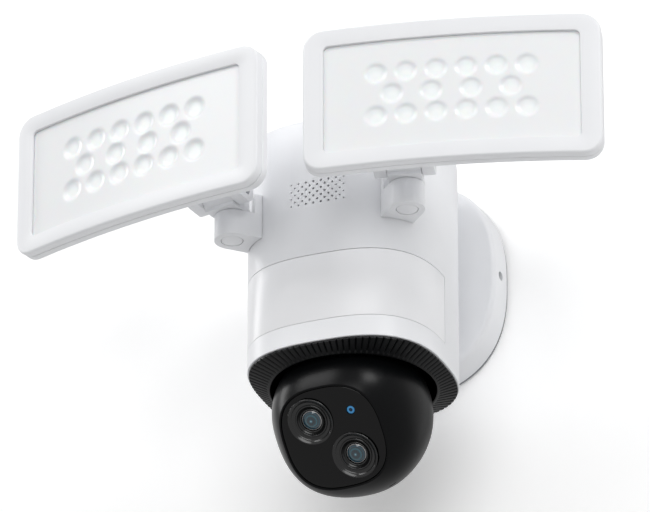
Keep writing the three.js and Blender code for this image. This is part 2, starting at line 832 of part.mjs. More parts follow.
// The yoke hangs from the pan gear, passes through the ball's slot as a flat blade and
// carries the two axle pins that the head tilts on.
function makeYoke() {
  const up = ball.drop;
  const beamTop = beamBottom + yokeArm.beamThickness;
  const top = gearTop + up + stem.flange;
  const column = rod('z', stem.radius, wellCeiling + up - well.seat, top, [0, 0], STEM_SIDES);
  const head = rod('z', stem.head, gearTop + up + FIT, top, [0, 0], STEM_SIDES);
  const blade = block(
    [-stem.bladeHalf, -stem.bladeDepth, beamTop - 1],
    [stem.bladeHalf, stem.bladeDepth, wellCeiling + up],
  );
  const wireBore = rod('z', yokeArm.wireBore, beamBottom - 1, top + 1, [0, 0], 12);
  const outer = yokeOutside;
  const beam = block([-outer, -yokeArm.depth / 2, beamBottom], [outer, yokeArm.depth / 2, beamTop]);
  const key = block(
    [-stemKey.half, 0, gearBottom + up],
    [stemKey.half, stem.radius + stemKey.height, gearTop + up + FIT],
  );
  const armFor = (side) => {
    const from = Math.min(side * yokeInside, side * outer);
    const to = from + yokeArm.thickness;
    const strap = block([from, -yokeArm.depth / 2, 0], [to, yokeArm.depth / 2, beamTop]);
    const boss = rod('x', yokeArm.boss, from, to, [0, 0], 20);
    return join(strap, boss);
  };
  const motorMount = join(
    rod('x', tiltMotor.radius + tiltMotor.collar, yokeInside, outer, [tiltShaft.y, tiltShaft.z], 20),
    block([yokeInside, 0, 0], [outer, tiltShaft.y, tiltShaft.z + yokeArm.depth / 2]),
  );
  const pinHole = rod('x', axlePin.radius + FIT, -outer - 1, outer + 1, [0, 0], 14);
  const shaftHole = rod('x', tiltMotor.shaftHole, yokeInside - 1, outer + 1, [tiltShaft.y, tiltShaft.z], 16);
  const whole = join(column, head, blade, beam, key, armFor(-1), armFor(1), motorMount);
  piece('yoke', cut(whole, wireBore, pinHole, shaftHole), 'warmPlastic', ballGroup);
}

// ---------------------------------------------------------------- tilt drive

const tiltPitch = ((tiltDrive.gearTeeth + tiltDrive.pinionTeeth) * tiltDrive.module) / 2;
const tiltShaft = {
  y: tiltPitch * Math.cos(radians(tiltMotor.at)),
  z: tiltPitch * Math.sin(radians(tiltMotor.at)),
};
const tiltMesh = radians(tiltMotor.at);
const tiltGearInside = yokeOutside + SWEEP;
const tiltGearOutside = tiltGearInside + tiltDrive.gearWidth;

function makeTiltMotor() {
  const mounting = yokeInside - FIT;
  const centre = [tiltShaft.y, tiltShaft.z];
  const can = rod('x', tiltMotor.radius, mounting - tiltMotor.length, mounting, centre, 24);
  piece('tilt_motor', can, 'steel', ballGroup);
}

// The pinion's shaft runs back through the yoke to the motor.
function makeTiltPinion() {
  const halfTooth = Math.PI / tiltDrive.pinionTeeth;
  const shape = gearShape(tiltDrive.pinionTeeth, tiltDrive.module, tiltMesh + Math.PI + halfTooth);
  const teeth = sidePrism(shape, tiltGearInside, tiltGearOutside);
  const shaft = rod('x', 1.2, yokeInside, tiltGearInside + 0.5, [0, 0], 12);
  const mesh = piece('tilt_pinion', join(teeth, shaft), 'brass', ballGroup);
  mesh.position.set(0, tiltShaft.y, tiltShaft.z);
}

// The gear is fixed to the head, so it is drawn in the head's own turned frame.
function makeTiltGear() {
  const toothAngle = tiltMesh - radians(ball.faceTilt);
  const shape = withRoundHole(
    gearShape(tiltDrive.gearTeeth, tiltDrive.module, toothAngle),
    axlePin.radius + FIT,
  );
  piece('tilt_gear', sidePrism(shape, tiltGearInside, tiltGearOutside), 'acetal', headGroup);
}

function makeAxlePin(name, side) {
  const head = yokeInside - FIT;
  const solid = join(
    rod('x', axlePin.radius, ...span(side, head - 1, axlePinEnd), [0, 0], 14),
    rod('x', axlePin.headRadius, ...span(side, head - axlePin.headHeight, head), [0, 0], 14),
  );
  piece(name, solid, 'steel', ballGroup);
}

// ---------------------------------------------------------------- head

const HEAD_SIDES = 28;                // facets round the ball and the face

// Drawn with the face looking along -Y. The front half is a little longer than a sphere,
// and its cross-section turns from a circle at the middle to the face's squircle.

function headOutline(depth, inset, count = HEAD_SIDES) {
  const reach = depth > 0 ? ballReach : ball.radius;
  const half = Math.max(0.5, ball.radius * Math.sqrt(Math.max(0, 1 - (depth / reach) ** 2)) - inset);
  const share = Math.min(1, Math.max(0, depth / faceDepth));
  const exponent = 2 + (face.exponent - 2) * share ** 1.5;
  return atDepth(squircle(half, exponent, count), -depth);
}

function headBody(inset) {
  const front = faceDepth - inset;
  const rear = -(ball.radius - inset * 1.05);
  const levels = [];
  const steps = 10;
  for (let i = 0; i <= steps; i += 1) {
    const turn = (i / steps) * Math.PI;
    const depth = turn < Math.PI / 2
      ? rear * Math.cos(turn)
      : -front * Math.cos(turn);
    levels.push(headOutline(depth, inset));
  }
  return skinned(levels);
}

// What the yoke's stem passes through as the head tilts.
function slotTool() {
  const half = ball.slotWidth / 2;
  const inner = ball.radius - ball.slotDepth;
  const far = ball.radius * 1.3;
  const start = radians(ball.slotStart);
  const shape = new THREE.Shape();
  shape.moveTo(-inner * Math.cos(start), inner * Math.sin(start));
  shape.lineTo(-far * Math.cos(start), far * Math.sin(start));
  shape.lineTo(-far * Math.cos(start), far * 1.2);
  shape.lineTo(far, far * 1.2);
  shape.lineTo(far, -ball.slotRise);
  shape.lineTo(inner, -ball.slotRise);
  shape.closePath();
  const core = rod('x', inner, -half - 1, half + 1, [0, 0], 28);
  return cut(sidePrism(shape, -half, half), core);
}

const facePocket = face.thickness + FIT;

function makeHeadShell() {
  const far = ball.radius * 1.5;
  const outline = (half, depth) => atDepth(squircle(half, face.exponent, HEAD_SIDES), -depth);
  const frontWall = faceDepth - facePocket - face.ledgeThickness;
  const ahead = block([-far, -far, -far], [far, -frontWall, far]);
  const shell = join(cut(headBody(0), cut(headBody(ball.wall), ahead)), common(headBody(0), ahead));
  const pocket = skinned([
    outline(face.half + FIT, faceDepth + 4),
    outline(face.half + FIT, faceDepth - facePocket),
  ]);
  const opening = skinned([
    outline(face.half - face.ledge, faceDepth + 4),
    outline(face.half - face.ledge, frontWall - 6),
  ]);
  const rear = block([-far, ball.coverBehind, -far], [far, far, far]);
  const bossEnds = [tiltGearOutside + FIT, ball.radius - 1];
  const bossFor = (side) => rod('x', ball.boss, ...span(side, ...bossEnds), [0, 0], 18);
  const pinHole = rod('x', axlePin.radius + FIT, -axlePinEnd - FIT, axlePinEnd + FIT, [0, 0], 14);
  const solid = cut(
    join(shell, bossFor(-1), bossFor(1)),
    pocket,
    opening,
    rear,
    slotTool(),
    pinHole,
    microphoneSlit(),
  );
  piece('head_shell', solid, 'blackSatin', headGroup);
}

const microphone = {
  aside: -23,                         // degrees from the ball's lowest point, to the side
  forward: -26.7,                     // and to the front
  size: [7, 4, 2.6],
  slit: [4.2, 1.1],
  seat: -0.15,                        // the flat facets let it sit a little outside the round
};

// Something drawn below the centre along -Z, turned to the microphone's place on the ball.
function atMicrophone(geometry) {
  geometry.rotateY(radians(microphone.aside));
  geometry.rotateX(radians(microphone.forward));
  return solidOf(geometry);
}

// A short slit low on the right of the ball, which the microphone sits behind.
function microphoneSlit() {
  const geometry = new THREE.BoxGeometry(...microphone.slit, 16);
  geometry.translate(0, 0, -ball.radius + 2);
  return atMicrophone(geometry);
}

function makeHeadCover() {
  const far = ball.radius * 1.5;
  const front = block([-far, -far, -far], [far, ball.coverBehind + FIT, far]);
  const shell = cut(headBody(0), headBody(ball.wall));
  piece('head_cover', cut(shell, front, slotTool()), 'blackSatin', headGroup);
}

function makeFacePlate() {
  const outline = (half, depth) => atDepth(squircle(half, face.exponent, HEAD_SIDES), -depth);
  const back = faceDepth - face.thickness;
  const crowned = skinned([
    outline(face.half, back),
    outline(face.half, faceDepth - face.edge),
    outline(face.half - face.edge * 1.6, faceDepth),
    outline(face.half * 0.62, faceDepth + face.crown * 0.75),
    outline(face.half * 0.25, faceDepth + face.crown),
  ]);
  const through = [-faceDepth - 4, -back + 2];
  const holeFor = (centre) => rod('y', lens.bezelRadius + FIT, ...through, centre, 20);
  const lightHole = rod('y', statusLight.outer + FIT, ...through, statusLight.at, 16);
  const solid = cut(crowned, holeFor(lens.wideAt), holeFor(lens.teleAt), lightHole);
  piece('face_plate', solid, 'blackGloss', headGroup);
}

const bezelFront = -(faceDepth + face.crown + lens.proud);
const bezelBack = -(faceDepth - lens.seat);

function makeLens(prefix, [x, z]) {
  const { bezelRadius, ringRadius, glassRadius, barrelRadius, barrelLength } = lens;
  const bezel = turned([
    [bezelRadius - 1.1, bezelFront],
    [bezelRadius - 0.2, bezelFront + 0.5],
    [bezelRadius, bezelFront + 1.2],
    [bezelRadius, bezelBack],
    [glassRadius + FIT + 0.2, bezelBack],
    [glassRadius + FIT + 0.2, bezelFront + 2.7],
    [ringRadius - 1.4, bezelFront + 2.3],
    [ringRadius, bezelFront + 1.2],
    [ringRadius + 0.6, bezelFront + 1.6],
  ], { axis: 'y', at: [x, 0, z], sides: 20 });
  piece(`${prefix}_lens_bezel`, bezel, 'blackGloss', headGroup);

  const glassFront = bezelFront + 1.4;
  const glass = turned([
    [0, glassFront],
    [glassRadius * 0.5, glassFront + 0.35],
    [glassRadius * 0.85, glassFront + 1.1],
    [glassRadius, glassFront + 1.9],
    [glassRadius, bezelBack],
    [0, bezelBack],
  ], { axis: 'y', at: [x, 0, z], sides: 20 });
  piece(`${prefix}_lens`, glass, 'glass', headGroup);

  const start = bezelBack + FIT;
  const barrel = join(
    rod('y', barrelRadius, start, start + barrelLength * 0.55, [x, z], 18),
    rod('y', barrelRadius - lens.barrelStep, start, start + barrelLength, [x, z], 18),
  );
  piece(`${prefix}_lens_barrel`, barrel, 'blackSatin', headGroup);
}

function makeStatusLight() {
  const [x, z] = statusLight.at;
  const front = -(faceDepth + statusLight.proud);
  const solid = turned([
    [statusLight.inner, front],
    [statusLight.outer, front],
    [statusLight.outer, front + statusLight.length],
    [statusLight.inner, front + statusLight.length],
  ], { axis: 'y', at: [x, 0, z], sides: 20 });
  piece('status_light', solid, 'blueLight', headGroup);
}

const cameraBoardFront = bezelBack + FIT + lens.barrelLength + FIT;

function makeCameraBoard() {
  const { fromYoke, corner, thickness, chipHalf, chipHeight } = cameraBoard;
  const width = 2 * (yokeInside - fromYoke);
  const back = cameraBoardFront + thickness;
  const board = frontPrism(roundedRectangle(width, width, corner), cameraBoardFront, back, 4);
  const processor = block([-chipHalf, back - 0.6, -chipHalf], [chipHalf, back + chipHeight, chipHalf]);
  piece('camera_board', join(board, processor), 'board', headGroup);
}

function makeMicrophone() {
  const height = microphone.size[2];
  const geometry = new THREE.BoxGeometry(...microphone.size);
  geometry.translate(0, 0, -ball.radius + ball.wall + microphone.seat + height / 2);
  piece('microphone', atMicrophone(geometry), 'steel', headGroup);
}

// ---------------------------------------------------------------- lamps

const lampRadius = ((lamp.width / 2) ** 2 + lamp.bow ** 2) / (2 * lamp.bow);

// A curved slab that follows the lamp's bow, between two depths behind the front face.
function bowedSlab(shape, nearDepth, farDepth, centre) {
  const [cx, cz] = centre;
  const half = Math.asin((lamp.width / 2 + 4) / lampRadius);
  const steps = 6;
  const plan = new THREE.Shape();
  const axisY = -lampAhead + lampRadius;
  const onArc = (depth, step) => {
    const angle = -half + (2 * half * step) / steps;
    const radius = lampRadius - depth;
    return [cx + radius * Math.sin(angle), axisY - radius * Math.cos(angle)];
  };
  plan.moveTo(...onArc(nearDepth, 0));
  for (let step = 1; step <= steps; step += 1) plan.lineTo(...onArc(nearDepth, step));
  for (let step = steps; step >= 0; step -= 1) plan.lineTo(...onArc(farDepth, step));
  plan.closePath();
  const band = prism(plan, cz - lamp.height, cz + lamp.height);
  return common(band, frontPrism(shape, -lampAhead - 2, -lampAhead + lamp.bow + 2 * lamp.depth, 3));
}

// The place of each light-emitting diode, across and up from the lamp's centre.
function ledPlaces() {
  return led.rows.flatMap((count, row) => {
    const pitch = row === 1 ? led.middlePitch : led.pitch;
    const z = (1 - row) * led.rowPitch;
    return Array.from({ length: count }, (_, i) => [(i - (count - 1) / 2) * pitch, z]);
  });
}

// The front face's distance from the hinge axis at a place across the lamp.
function lampFrontAt(x) {
  return -lampAhead + lampRadius - Math.sqrt(lampRadius ** 2 - x ** 2);
}

function makeLamp(side, word) {
  const swivel = new THREE.Group();
  swivel.position.set(side * swivelDiagonal, -swivelDiagonal, hingeHeight);
  swivel.rotation.z = side * radians(lamp.yaw);
  housingGroup.add(swivel);
  const tilting = new THREE.Group();
  tilting.position.set(0, -hingeForward, 0);
  swivel.add(tilting);

  const centre = [side * lampOutward, lampUpward];
  const [cx, cz] = centre;
  const outline = (inset) => roundedRectangle(
    lamp.width - 2 * inset, lamp.height - 2 * inset, Math.max(lamp.corner - inset, 2), centre,
  );
  const windowWidth = lamp.width - 2 * lamp.marginSide;
  const windowHeight = lamp.height - lamp.marginTop - lamp.marginBottom;
  const windowCentre = [cx, cz + (lamp.marginBottom - lamp.marginTop) / 2];
  const windowShape = (grow) => roundedRectangle(
    windowWidth + 2 * grow, windowHeight + 2 * grow, lamp.windowCorner + grow, windowCentre,
  );

  makeLampFrame(word, tilting, outline, windowShape, centre);
  makeLampDiffuser(word, tilting, windowShape, centre);
  makeLedBoard(word, tilting, outline, centre);
  makeLampBack(word, tilting, outline, centre);
  makeHinge(word, tilting, swivel);
  makeArm(side, word);
}

function makeLampFrame(word, parent, outline, windowShape, centre) {
  const body = bowedSlab(outline(0), 0, lamp.frameDepth, centre);
  const hollow = bowedSlab(outline(lamp.wall), lamp.frameLip, lamp.frameDepth + 1, centre);
  const opening = bowedSlab(windowShape(0), -1, lamp.frameDepth, centre);
  piece(`lamp_frame_${word}`, cut(body, hollow, opening), 'whitePlastic', parent);
}

function makeLampDiffuser(word, parent, windowShape, centre) {
  const front = lamp.frameLip + FIT;
  const body = bowedSlab(windowShape(lamp.diffuserEdge), front, front + lamp.diffuserThickness, centre);
  piece(`lamp_diffuser_${word}`, body, 'diffuser', parent);
}

const boardDepth = lamp.depth - lamp.backWall - FIT - led.boardThickness;

function makeLedBoard(word, parent, outline, centre) {
  const [cx, cz] = centre;
  const inset = lamp.wall + led.boardInset;
  const board = bowedSlab(outline(inset), boardDepth, boardDepth + led.boardThickness, centre);
  const domes = ledPlaces().map(([x, z]) => {
    const seat = lampFrontAt(x) + boardDepth + 0.5;
    return turned([
      [0, seat - led.domeHeight],
      [led.domeRadius * 0.55, seat - led.domeHeight],
      [led.domeRadius, seat],
      [0, seat],
    ], { axis: 'y', at: [cx + x, 0, cz + z], sides: 6 });
  });
  piece(`led_board_${word}`, join(board, ...domes), 'whiteBoard', parent);
}

// A hinge lug seen from the side: round at the hinge axis and rising to the lamp's back.
function lugShape(reach) {
  const r = hinge.barrelRadius;
  const shape = new THREE.Shape();
  shape.absarc(0, 0, r, Math.PI * 0.5, -Math.PI * 0.4, true);
  shape.lineTo(-8, -r + 1.2);
  shape.lineTo(reach, lamp.bridgeBottom);
  shape.lineTo(reach, lamp.bridgeTop);
  shape.lineTo(-12, 12);
  shape.closePath();
  return shape;
}

function makeLampBack(word, parent, outline, centre) {
  const [cx, cz] = centre;
  const body = bowedSlab(outline(0), lamp.frameDepth + FIT, lamp.depth, centre);
  const hollow = bowedSlab(outline(lamp.wall), lamp.frameDepth, lamp.depth - lamp.backWall, centre);
  const backMiddle = -lampAhead + lamp.depth;
  const podShape = roundedRectangle(lamp.podWidth, lamp.podHeight, lamp.podCorner, [cx, cz]);
  const pod = frontPrism(podShape, backMiddle - lamp.podRoot, backMiddle + lamp.podDepth, 3);
  const podReach = backMiddle + lamp.podDepth - 4;
  const lugs = [-1, 1].map((side) => sidePrism(lugShape(podReach), ...span(side, lugInner, lugOuter), 6));
  const bridgeFront = lampFrontAt(lampOutward + lugOuter) + lamp.depth - lamp.backWall + 2 * FIT;
  const bridge = block([-lugOuter, bridgeFront, lamp.bridgeBottom], [lugOuter, podReach + 1, lamp.bridgeTop]);
  const pinHole = rod('x', hinge.pinRadius + FIT, -lugOuter - 1, lugOuter + 1, [0, 0], 14);
  const solid = cut(join(cut(body, hollow), pod, bridge, ...lugs), pinHole);
  piece(`lamp_back_${word}`, solid, 'whitePlastic', parent);
}

// The neck turns on the arm's end and carries the hinge knuckle. The pin holds the lamp to it.
function makeHinge(word, tilting, swivel) {
  const half = hinge.knuckleHalf;
  const far = 2 * arm.radius;
  const down = FIT - hinge.aboveArm;
  const ledge = armLedge - hingeHeight;
  const forward = -hingeForward;
  const disc = rod('z', arm.radius, down, down + hinge.foot, [0, 0], 24);
  const knuckle = rod('x', hinge.barrelRadius, -half, half, [forward, 0], 16);
  const web = block([-half, forward, down + 1], [half, hinge.webBack, hinge.webTop]);
  const chin = block([-half, forward - hinge.barrelRadius / 2, down], [half, 0, 0]);
  const stub = rod('z', arm.boreRadius - FIT, ledge + FIT, down + 1, [0, 0], 20);
  const within = rod('z', arm.radius, down - 1, far, [0, 0], 24);
  const front = block([-far, -far - hingeForward, down - 1], [far, 0, far]);
  const body = join(common(web, join(within, front)), disc, knuckle, chin);
  const pinHole = rod('x', hinge.pinRadius + FIT, -far, far, [forward, 0], 14);
  const screwHole = rod('z', pivotScrew.hole, ledge, down + 2, [0, 0], 12);
  piece(`swivel_neck_${word}`, cut(join(body, stub), pinHole, screwHole), 'whitePlastic', swivel);

  const screw = join(
    rod('z', pivotScrew.headRadius, ledge - FIT - pivotScrew.headHeight, ledge - FIT, [0, 0], 20),
    rod('z', pivotScrew.radius, ledge - 1, down + 2 - 0.4, [0, 0], 12),
  );
  piece(`pivot_screw_${word}`, screw, 'steel', swivel);

  const reach = lugOuter - hinge.pinInset;
  piece(`hinge_pin_${word}`, rod('x', hinge.pinRadius, -reach, reach, [0, 0], 14), 'steel', tilting);
}

function makeArm(side, word) {
  const end = [side * swivelDiagonal, -swivelDiagonal];
  const back = arm.beyondCorner + arm.root;
  const strap = (from, to, low, high) => {
    const geometry = new THREE.BoxGeometry(to - from, 2 * arm.radius, high - low);
    geometry.translate((from + to) / 2, 0, (low + high) / 2);
    geometry.rotateZ(side > 0 ? -Math.PI / 4 : (-3 * Math.PI) / 4);
    geometry.translate(end[0], end[1], 0);
    return solidOf(geometry);
  };
  const tip = rod('z', arm.radius, arm.bottom, armTop, end, 24);
  const bar = strap(-back, 0, arm.bottom, armTop);
  const collar = strap(-back, -arm.collarBack, armTop - 1, collarTop);
  const turning = rod('z', arm.radius + SWEEP + 0.5, armTop, collarTop + 1, end, 32);
  const housingBody = skinned([
    housingOutline(-FIT, arm.bottom - 5),
    housingOutline(-FIT, collarTop + 5),
  ]);
  const bore = rod('z', arm.boreRadius, armLedge - 1, armTop + 1, end, 20);
  const pocket = rod('z', arm.capRadius + FIT, arm.bottom - 1, armLedge, end, 24);
  const whole = join(tip, bar, cut(collar, turning));
  piece(`lamp_arm_${word}`, cut(whole, housingBody, bore, pocket), 'whitePlastic', housingGroup);

  const cap = rod('z', arm.capRadius, arm.bottom, arm.bottom + arm.capThickness, end, 24);
  piece(`arm_cap_${word}`, cap, 'whitePlastic', housingGroup);
}

// ---------------------------------------------------------------- assembly

makeWallBase();
makeBaseGasket();
makeWallBracket();
makeBaseScrew('base_screw_left', -1);
makeBaseScrew('base_screw_right', 1);
makeCableGland();

makeHousingShell();
makeMountScrew('mount_screw_upper', screwSpots[1] + housing.bottomToMount);
makeMountScrew('mount_screw_lower', screwSpots[0] + housing.bottomToMount);
makeMotionWindow();
makeWellFrame();
makeTrimRing();
makeSpeaker();
makeMotionSensorBoard();
makeMainBoard();
makePowerBoard();
makeAntenna();

makePanBearing();
makePanMotor();
makePanPinion();
makePanGear();
makeYoke();
makeTiltMotor();
makeTiltPinion();
makeAxlePin('axle_pin_left', -1);
makeAxlePin('axle_pin_right', 1);

makeHeadShell();
makeHeadCover();
makeFacePlate();
makeLens('wide', lens.wideAt);
makeLens('tele', lens.teleAt);
makeStatusLight();
makeCameraBoard();
makeMicrophone();
makeTiltGear();

makeLamp(-1, 'left');
makeLamp(1, 'right');

export default device;
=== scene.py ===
"""A floodlight security camera: its looks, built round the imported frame.

Each shape is drawn in millimetres, in the frame of what it belongs to (the housing, the ball
head or a lamp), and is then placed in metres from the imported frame's joints.
"""

import json
from math import atan2, cos, hypot, pi, radians, sin, sqrt

import bmesh
import bpy
from mathutils import Matrix, Vector


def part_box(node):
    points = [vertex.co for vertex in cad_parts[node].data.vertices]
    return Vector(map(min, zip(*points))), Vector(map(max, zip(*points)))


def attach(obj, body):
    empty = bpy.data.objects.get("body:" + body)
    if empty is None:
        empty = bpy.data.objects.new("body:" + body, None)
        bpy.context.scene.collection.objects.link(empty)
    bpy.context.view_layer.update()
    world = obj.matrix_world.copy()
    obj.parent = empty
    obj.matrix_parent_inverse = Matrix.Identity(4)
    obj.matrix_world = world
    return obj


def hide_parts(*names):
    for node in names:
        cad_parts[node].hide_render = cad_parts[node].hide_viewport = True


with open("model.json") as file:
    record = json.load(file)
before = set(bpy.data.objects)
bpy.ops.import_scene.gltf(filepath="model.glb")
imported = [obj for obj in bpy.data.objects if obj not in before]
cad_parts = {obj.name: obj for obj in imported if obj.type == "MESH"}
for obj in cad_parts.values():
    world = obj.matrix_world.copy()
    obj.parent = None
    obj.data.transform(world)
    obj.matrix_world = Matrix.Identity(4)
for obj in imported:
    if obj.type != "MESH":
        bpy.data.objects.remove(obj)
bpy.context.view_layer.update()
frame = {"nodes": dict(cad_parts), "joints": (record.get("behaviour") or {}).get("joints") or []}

# ---- sizes, in millimetres

MM = 0.001
FIT = 0.3                     # the gap between pieces that touch
PAST = 1                      # how far a cutting shape runs past what it cuts
SAME_PLACE = 1e-4             # points this near each other are one
ROUND = 160                   # points round the housing and the base
BALL_ROUND = 96               # points round the ball, a bezel or a neck
SMALL_ROUND = 64              # points round a pin


def in_mm(node):
    """A CAD node's lowest and highest corners, in millimetres."""
    low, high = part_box(node)
    return low / MM, high / MM


JOINTS = {joint["name"]: joint for joint in frame["joints"]}


def joint_place(name):
    return Vector(JOINTS[name]["pos_m"]) / MM


shell_low, shell_high = in_mm("housing_shell")
base_low, base_high = in_mm("wall_base")
pan_axis = joint_place("pan")
housing_at = Vector((0, pan_axis.y, shell_low.z))

HOUSING = {
    "half": (shell_high.x - shell_low.x) / 2,
    "height": shell_high.z - shell_low.z,
    "exponent": 2.75, "wall": 2.4, "top_round": 3.2, "bottom_edge": 0.25,
}
BASE = {
    "half": 61.7, "front_half": 60.4, "exponent": 2.6,
    "depth": -base_low.y, "back": -base_high.y,
    "wall": 2.6, "edge_round": 2.6, "back_edge": 0.3, "screw_hole": 2.6, "wire_hole": 11,
}
SEAL = {"inset": 0.5, "band_inset": 4}
NECK = {"half": 24, "bottom": 48, "top": 116, "hole": 11.5, "edge": 0.8}
GRILLE = {
    "centre": 88.3, "columns": 15, "long_column": 4, "short_column": 3,
    "pitch": 2.13, "row_pitch": 4.25, "middle": 0.7, "end": 0.44,
}
WINDOW = {
    "axis_gap": 2.6,          # from the pan axis forward to the side edges
    "slot_depth": 2.2, "thickness": 1.7, "edge": 0.25,
}
RING = {
    "top": -0.5, "edge": 0.9, "bottom": -5.4, "inner": 44.3, "inset": 0.8,
    "grooves": 96, "groove_points": 12,
    "groove_half": 0.17,      # half a groove's width, as a share of the pitch
    "rim_dent": 0.35,         # how far a groove draws in the outer rim, as a share of its depth
}
BALL = {
    "radius": 42.3,
    "reach": 45,              # of the front half, which the face plate cuts short
    "wall": 2, "tilt": 43.6, "cover": 17,
    "slot": 17, "slot_from": 68, "slot_inner": 30, "slot_end": -6,
}
FACE = {
    "half": 27.6, "exponent": 2.67, "depth": 32.9, "thickness": 2.4,
    "crown": 1.4, "edge": 0.5, "edge_inset": 0.6, "ledge": 2.4,
}
LENSES = {"wide": (-9.2, 11.3), "tele": (9.2, -11.3)}
BEZEL = {"radius": 11.8, "proud": 0.5, "back": 4.2}
GLASS = {"radius": 5.3, "bulge": 1.9, "painted_ring_reach": 5.6, "set_back": 0.9}
LIGHT_AT = (14.4, 12.9)
LIGHT = {"outer": 2.1, "inner": 1.05, "window": 1.02, "proud": 0.55}
SLIT = {"half_length": 2.1, "half_height": 0.55, "aside": -23, "forward": -26.7}
ARM = {
    "radius": 9.5, "bottom": 69.4, "top": 83.7, "collar": 95, "cap": 5.7, "cap_height": 1.8,
    "ledge": 74.7, "bore": 4.3, "reach": 26, "collar_from": 9, "neck_gap": 1.1,
}
HINGE = {"height": 91, "forward": 9.05, "radius": 6, "half": 9, "lug": 7, "pin": 1.9}
PIN_SLOT = {"half_width": 0.3, "half_length": 1.4, "depth": 0.6}
LAMP = {
    "width": 157.8, "height": 82.7, "corner": 10.3, "bow": 5.8,
    "depth": 10.6, "frame": 5, "frame_round": 1.4, "back_round": 1.8,
    "seam_edge": 0.25, "lip": 1.6, "sheet": 1.6,
    "sheet_tuck": 2.6,        # how far the sheet reaches under the frame's lip
    "wall": 2.2, "side": 11, "top": 10, "bottom": 9.4,
    "outward": 29.9, "upward": 21.5, "ahead": 43.5,
}
POD = {"width": 64, "height": 40, "depth": 12, "corner": 8, "edge_round": 3.0}
LED_ROWS = ((6, 16), (4, 21), (6, 16))
LED = {"row_pitch": 12.6, "radius": 6.2, "height": 2.6, "dome_patch": 6.9, "dimple": 1.0, "seat": 3.6}
# Painted light and shade on the opal sheet near each dome: painted light low on it and painted
# shade round its upper rim, as under light from above.
DOME_LIGHT = {"below": 1.7, "radius": 5.4, "rim": 5.7, "rim_width": 2.0, "rim_shade": 0.45}


# ---- frames of reference

def turned_frame(origin, x_axis):
    """A frame whose X lies along a level axis, and whose Z points up."""
    x = Vector(x_axis).normalized()
    z = Vector((0, 0, 1))
    y = z.cross(x)
    rotation = Matrix((x, y, z)).transposed().to_4x4()
    return Matrix.Translation(origin) @ rotation


housing_frame = Matrix.Translation(housing_at)
ball_frame = turned_frame(joint_place("tilt"), JOINTS["tilt"]["axis"])
head_frame = ball_frame @ Matrix.Rotation(radians(BALL["tilt"]), 4, "X")


# Where a piece is placed, and the body that it rides on.
WALL = (Matrix.Identity(4), "device")
DEVICE = (housing_frame, "device")
HEAD = (head_frame, "head")


def lamp_frame(word):
    return turned_frame(joint_place(f"{word}_tilt"), JOINTS[f"{word}_tilt"]["axis"])


def neck_frame(word):
    """On the swivel's axis, level with the hinge pin."""
    origin = joint_place(f"{word}_swivel")
    origin.z = joint_place(f"{word}_tilt").z
    return turned_frame(origin, JOINTS[f"{word}_tilt"]["axis"])


# ---- making meshes

def raw_object(name, points, faces):
    mesh = bpy.data.meshes.new(name)
    mesh.from_pydata([tuple(point) for point in points], [], faces)
    made = bpy.data.objects.new(name, mesh)
    bpy.context.scene.collection.objects.link(made)
    return made


def mesh_object(name, points, faces):
    """A solid whose doubled points are merged and whose faces all look outwards."""
    made = raw_object(name, points, faces)
    clean = bmesh.new()
    clean.from_mesh(made.data)
    bmesh.ops.remove_doubles(clean, verts=clean.verts, dist=SAME_PLACE)
    bmesh.ops.recalc_face_normals(clean, faces=clean.faces)
    clean.to_mesh(made.data)
    clean.free()
    return made


def skin(name, rings, closed=False):
    """Joins a stack of rings of equal point count. An open stack gets flat ends."""
    count = len(rings[0])
    points = [point for ring in rings for point in ring]
    faces = []
    for level in range(len(rings) if closed else len(rings) - 1):
        low = level * count
        high = (level + 1) % len(rings) * count
        for i in range(count):
            j = (i + 1) % count
            faces.append((low + i, low + j, high + j, high + i))
    if not closed:
        last = (len(rings) - 1) * count
        faces.append(tuple(range(count)))
        faces.append(tuple(range(last, last + count)))
    return mesh_object(name, points, faces)


def squircle_point(half, exponent, angle):
    across, up = cos(angle), sin(angle)
    reach = half / (abs(across) ** exponent + abs(up) ** exponent) ** (1 / exponent)
    return reach * across, reach * up


def squircle(half, exponent, count=ROUND):
    """A superellipse, with its points at equal angles as seen from its middle."""
    return [squircle_point(half, exponent, 2 * pi * i / count) for i in range(count)]


def rounded_rectangle(width, height, radius, centre):
    """A rectangle with round corners, and with points along its sides so that it can bend."""
    corner_steps, long_steps, short_steps = 8, 20, 10
    right, top = width / 2 - radius, height / 2 - radius
    corners = ((right, top), (-right, top), (-right, -top), (right, -top))
    next_arcs = ((-right, top + radius), (-right - radius, -top),
                 (right, -top - radius), (right + radius, top))
    points = []
    for number, (x, y) in enumerate(corners):
        for i in range(corner_steps + 1):
            angle = pi / 2 * (number + i / corner_steps)
            points.append((x + radius * cos(angle), y + radius * sin(angle)))
        steps = long_steps if number % 2 == 0 else short_steps
        start, end = Vector(points[-1]), Vector(next_arcs[number])
        points.extend(tuple(start.lerp(end, i / steps)) for i in range(1, steps))
    return [(x + centre[0], y + centre[1]) for x, y in points]


def quarter_turn(steps):
    """Points of a quarter turn: how far round the corner in, and how far up, each from 0 to 1."""
    for step in range(steps + 1):
        turn = pi / 2 * step / steps
        yield 1 - cos(turn), sin(turn)


def upright(outline, z):
    return [(x, y, z) for x, y in outline]


def facing(outline, y):
    return [(x, y, z) for x, z in outline]


def sideways(outline, x):
    return [(x, y, z) for y, z in outline]


def arc(radius, start, end, steps, centre=(0, 0)):
    """Points on a circle from one angle to another, in degrees."""
    points = []
    for i in range(steps + 1):
        angle = radians(start + (end - start) * i / steps)
        points.append((centre[0] + radius * cos(angle), centre[1] + radius * sin(angle)))
    return points


LAY = {"x": sideways, "y": facing, "z": upright}


def prism(name, outline, axis, low, high):
    return skin(name, [LAY[axis](outline, low), LAY[axis](outline, high)])


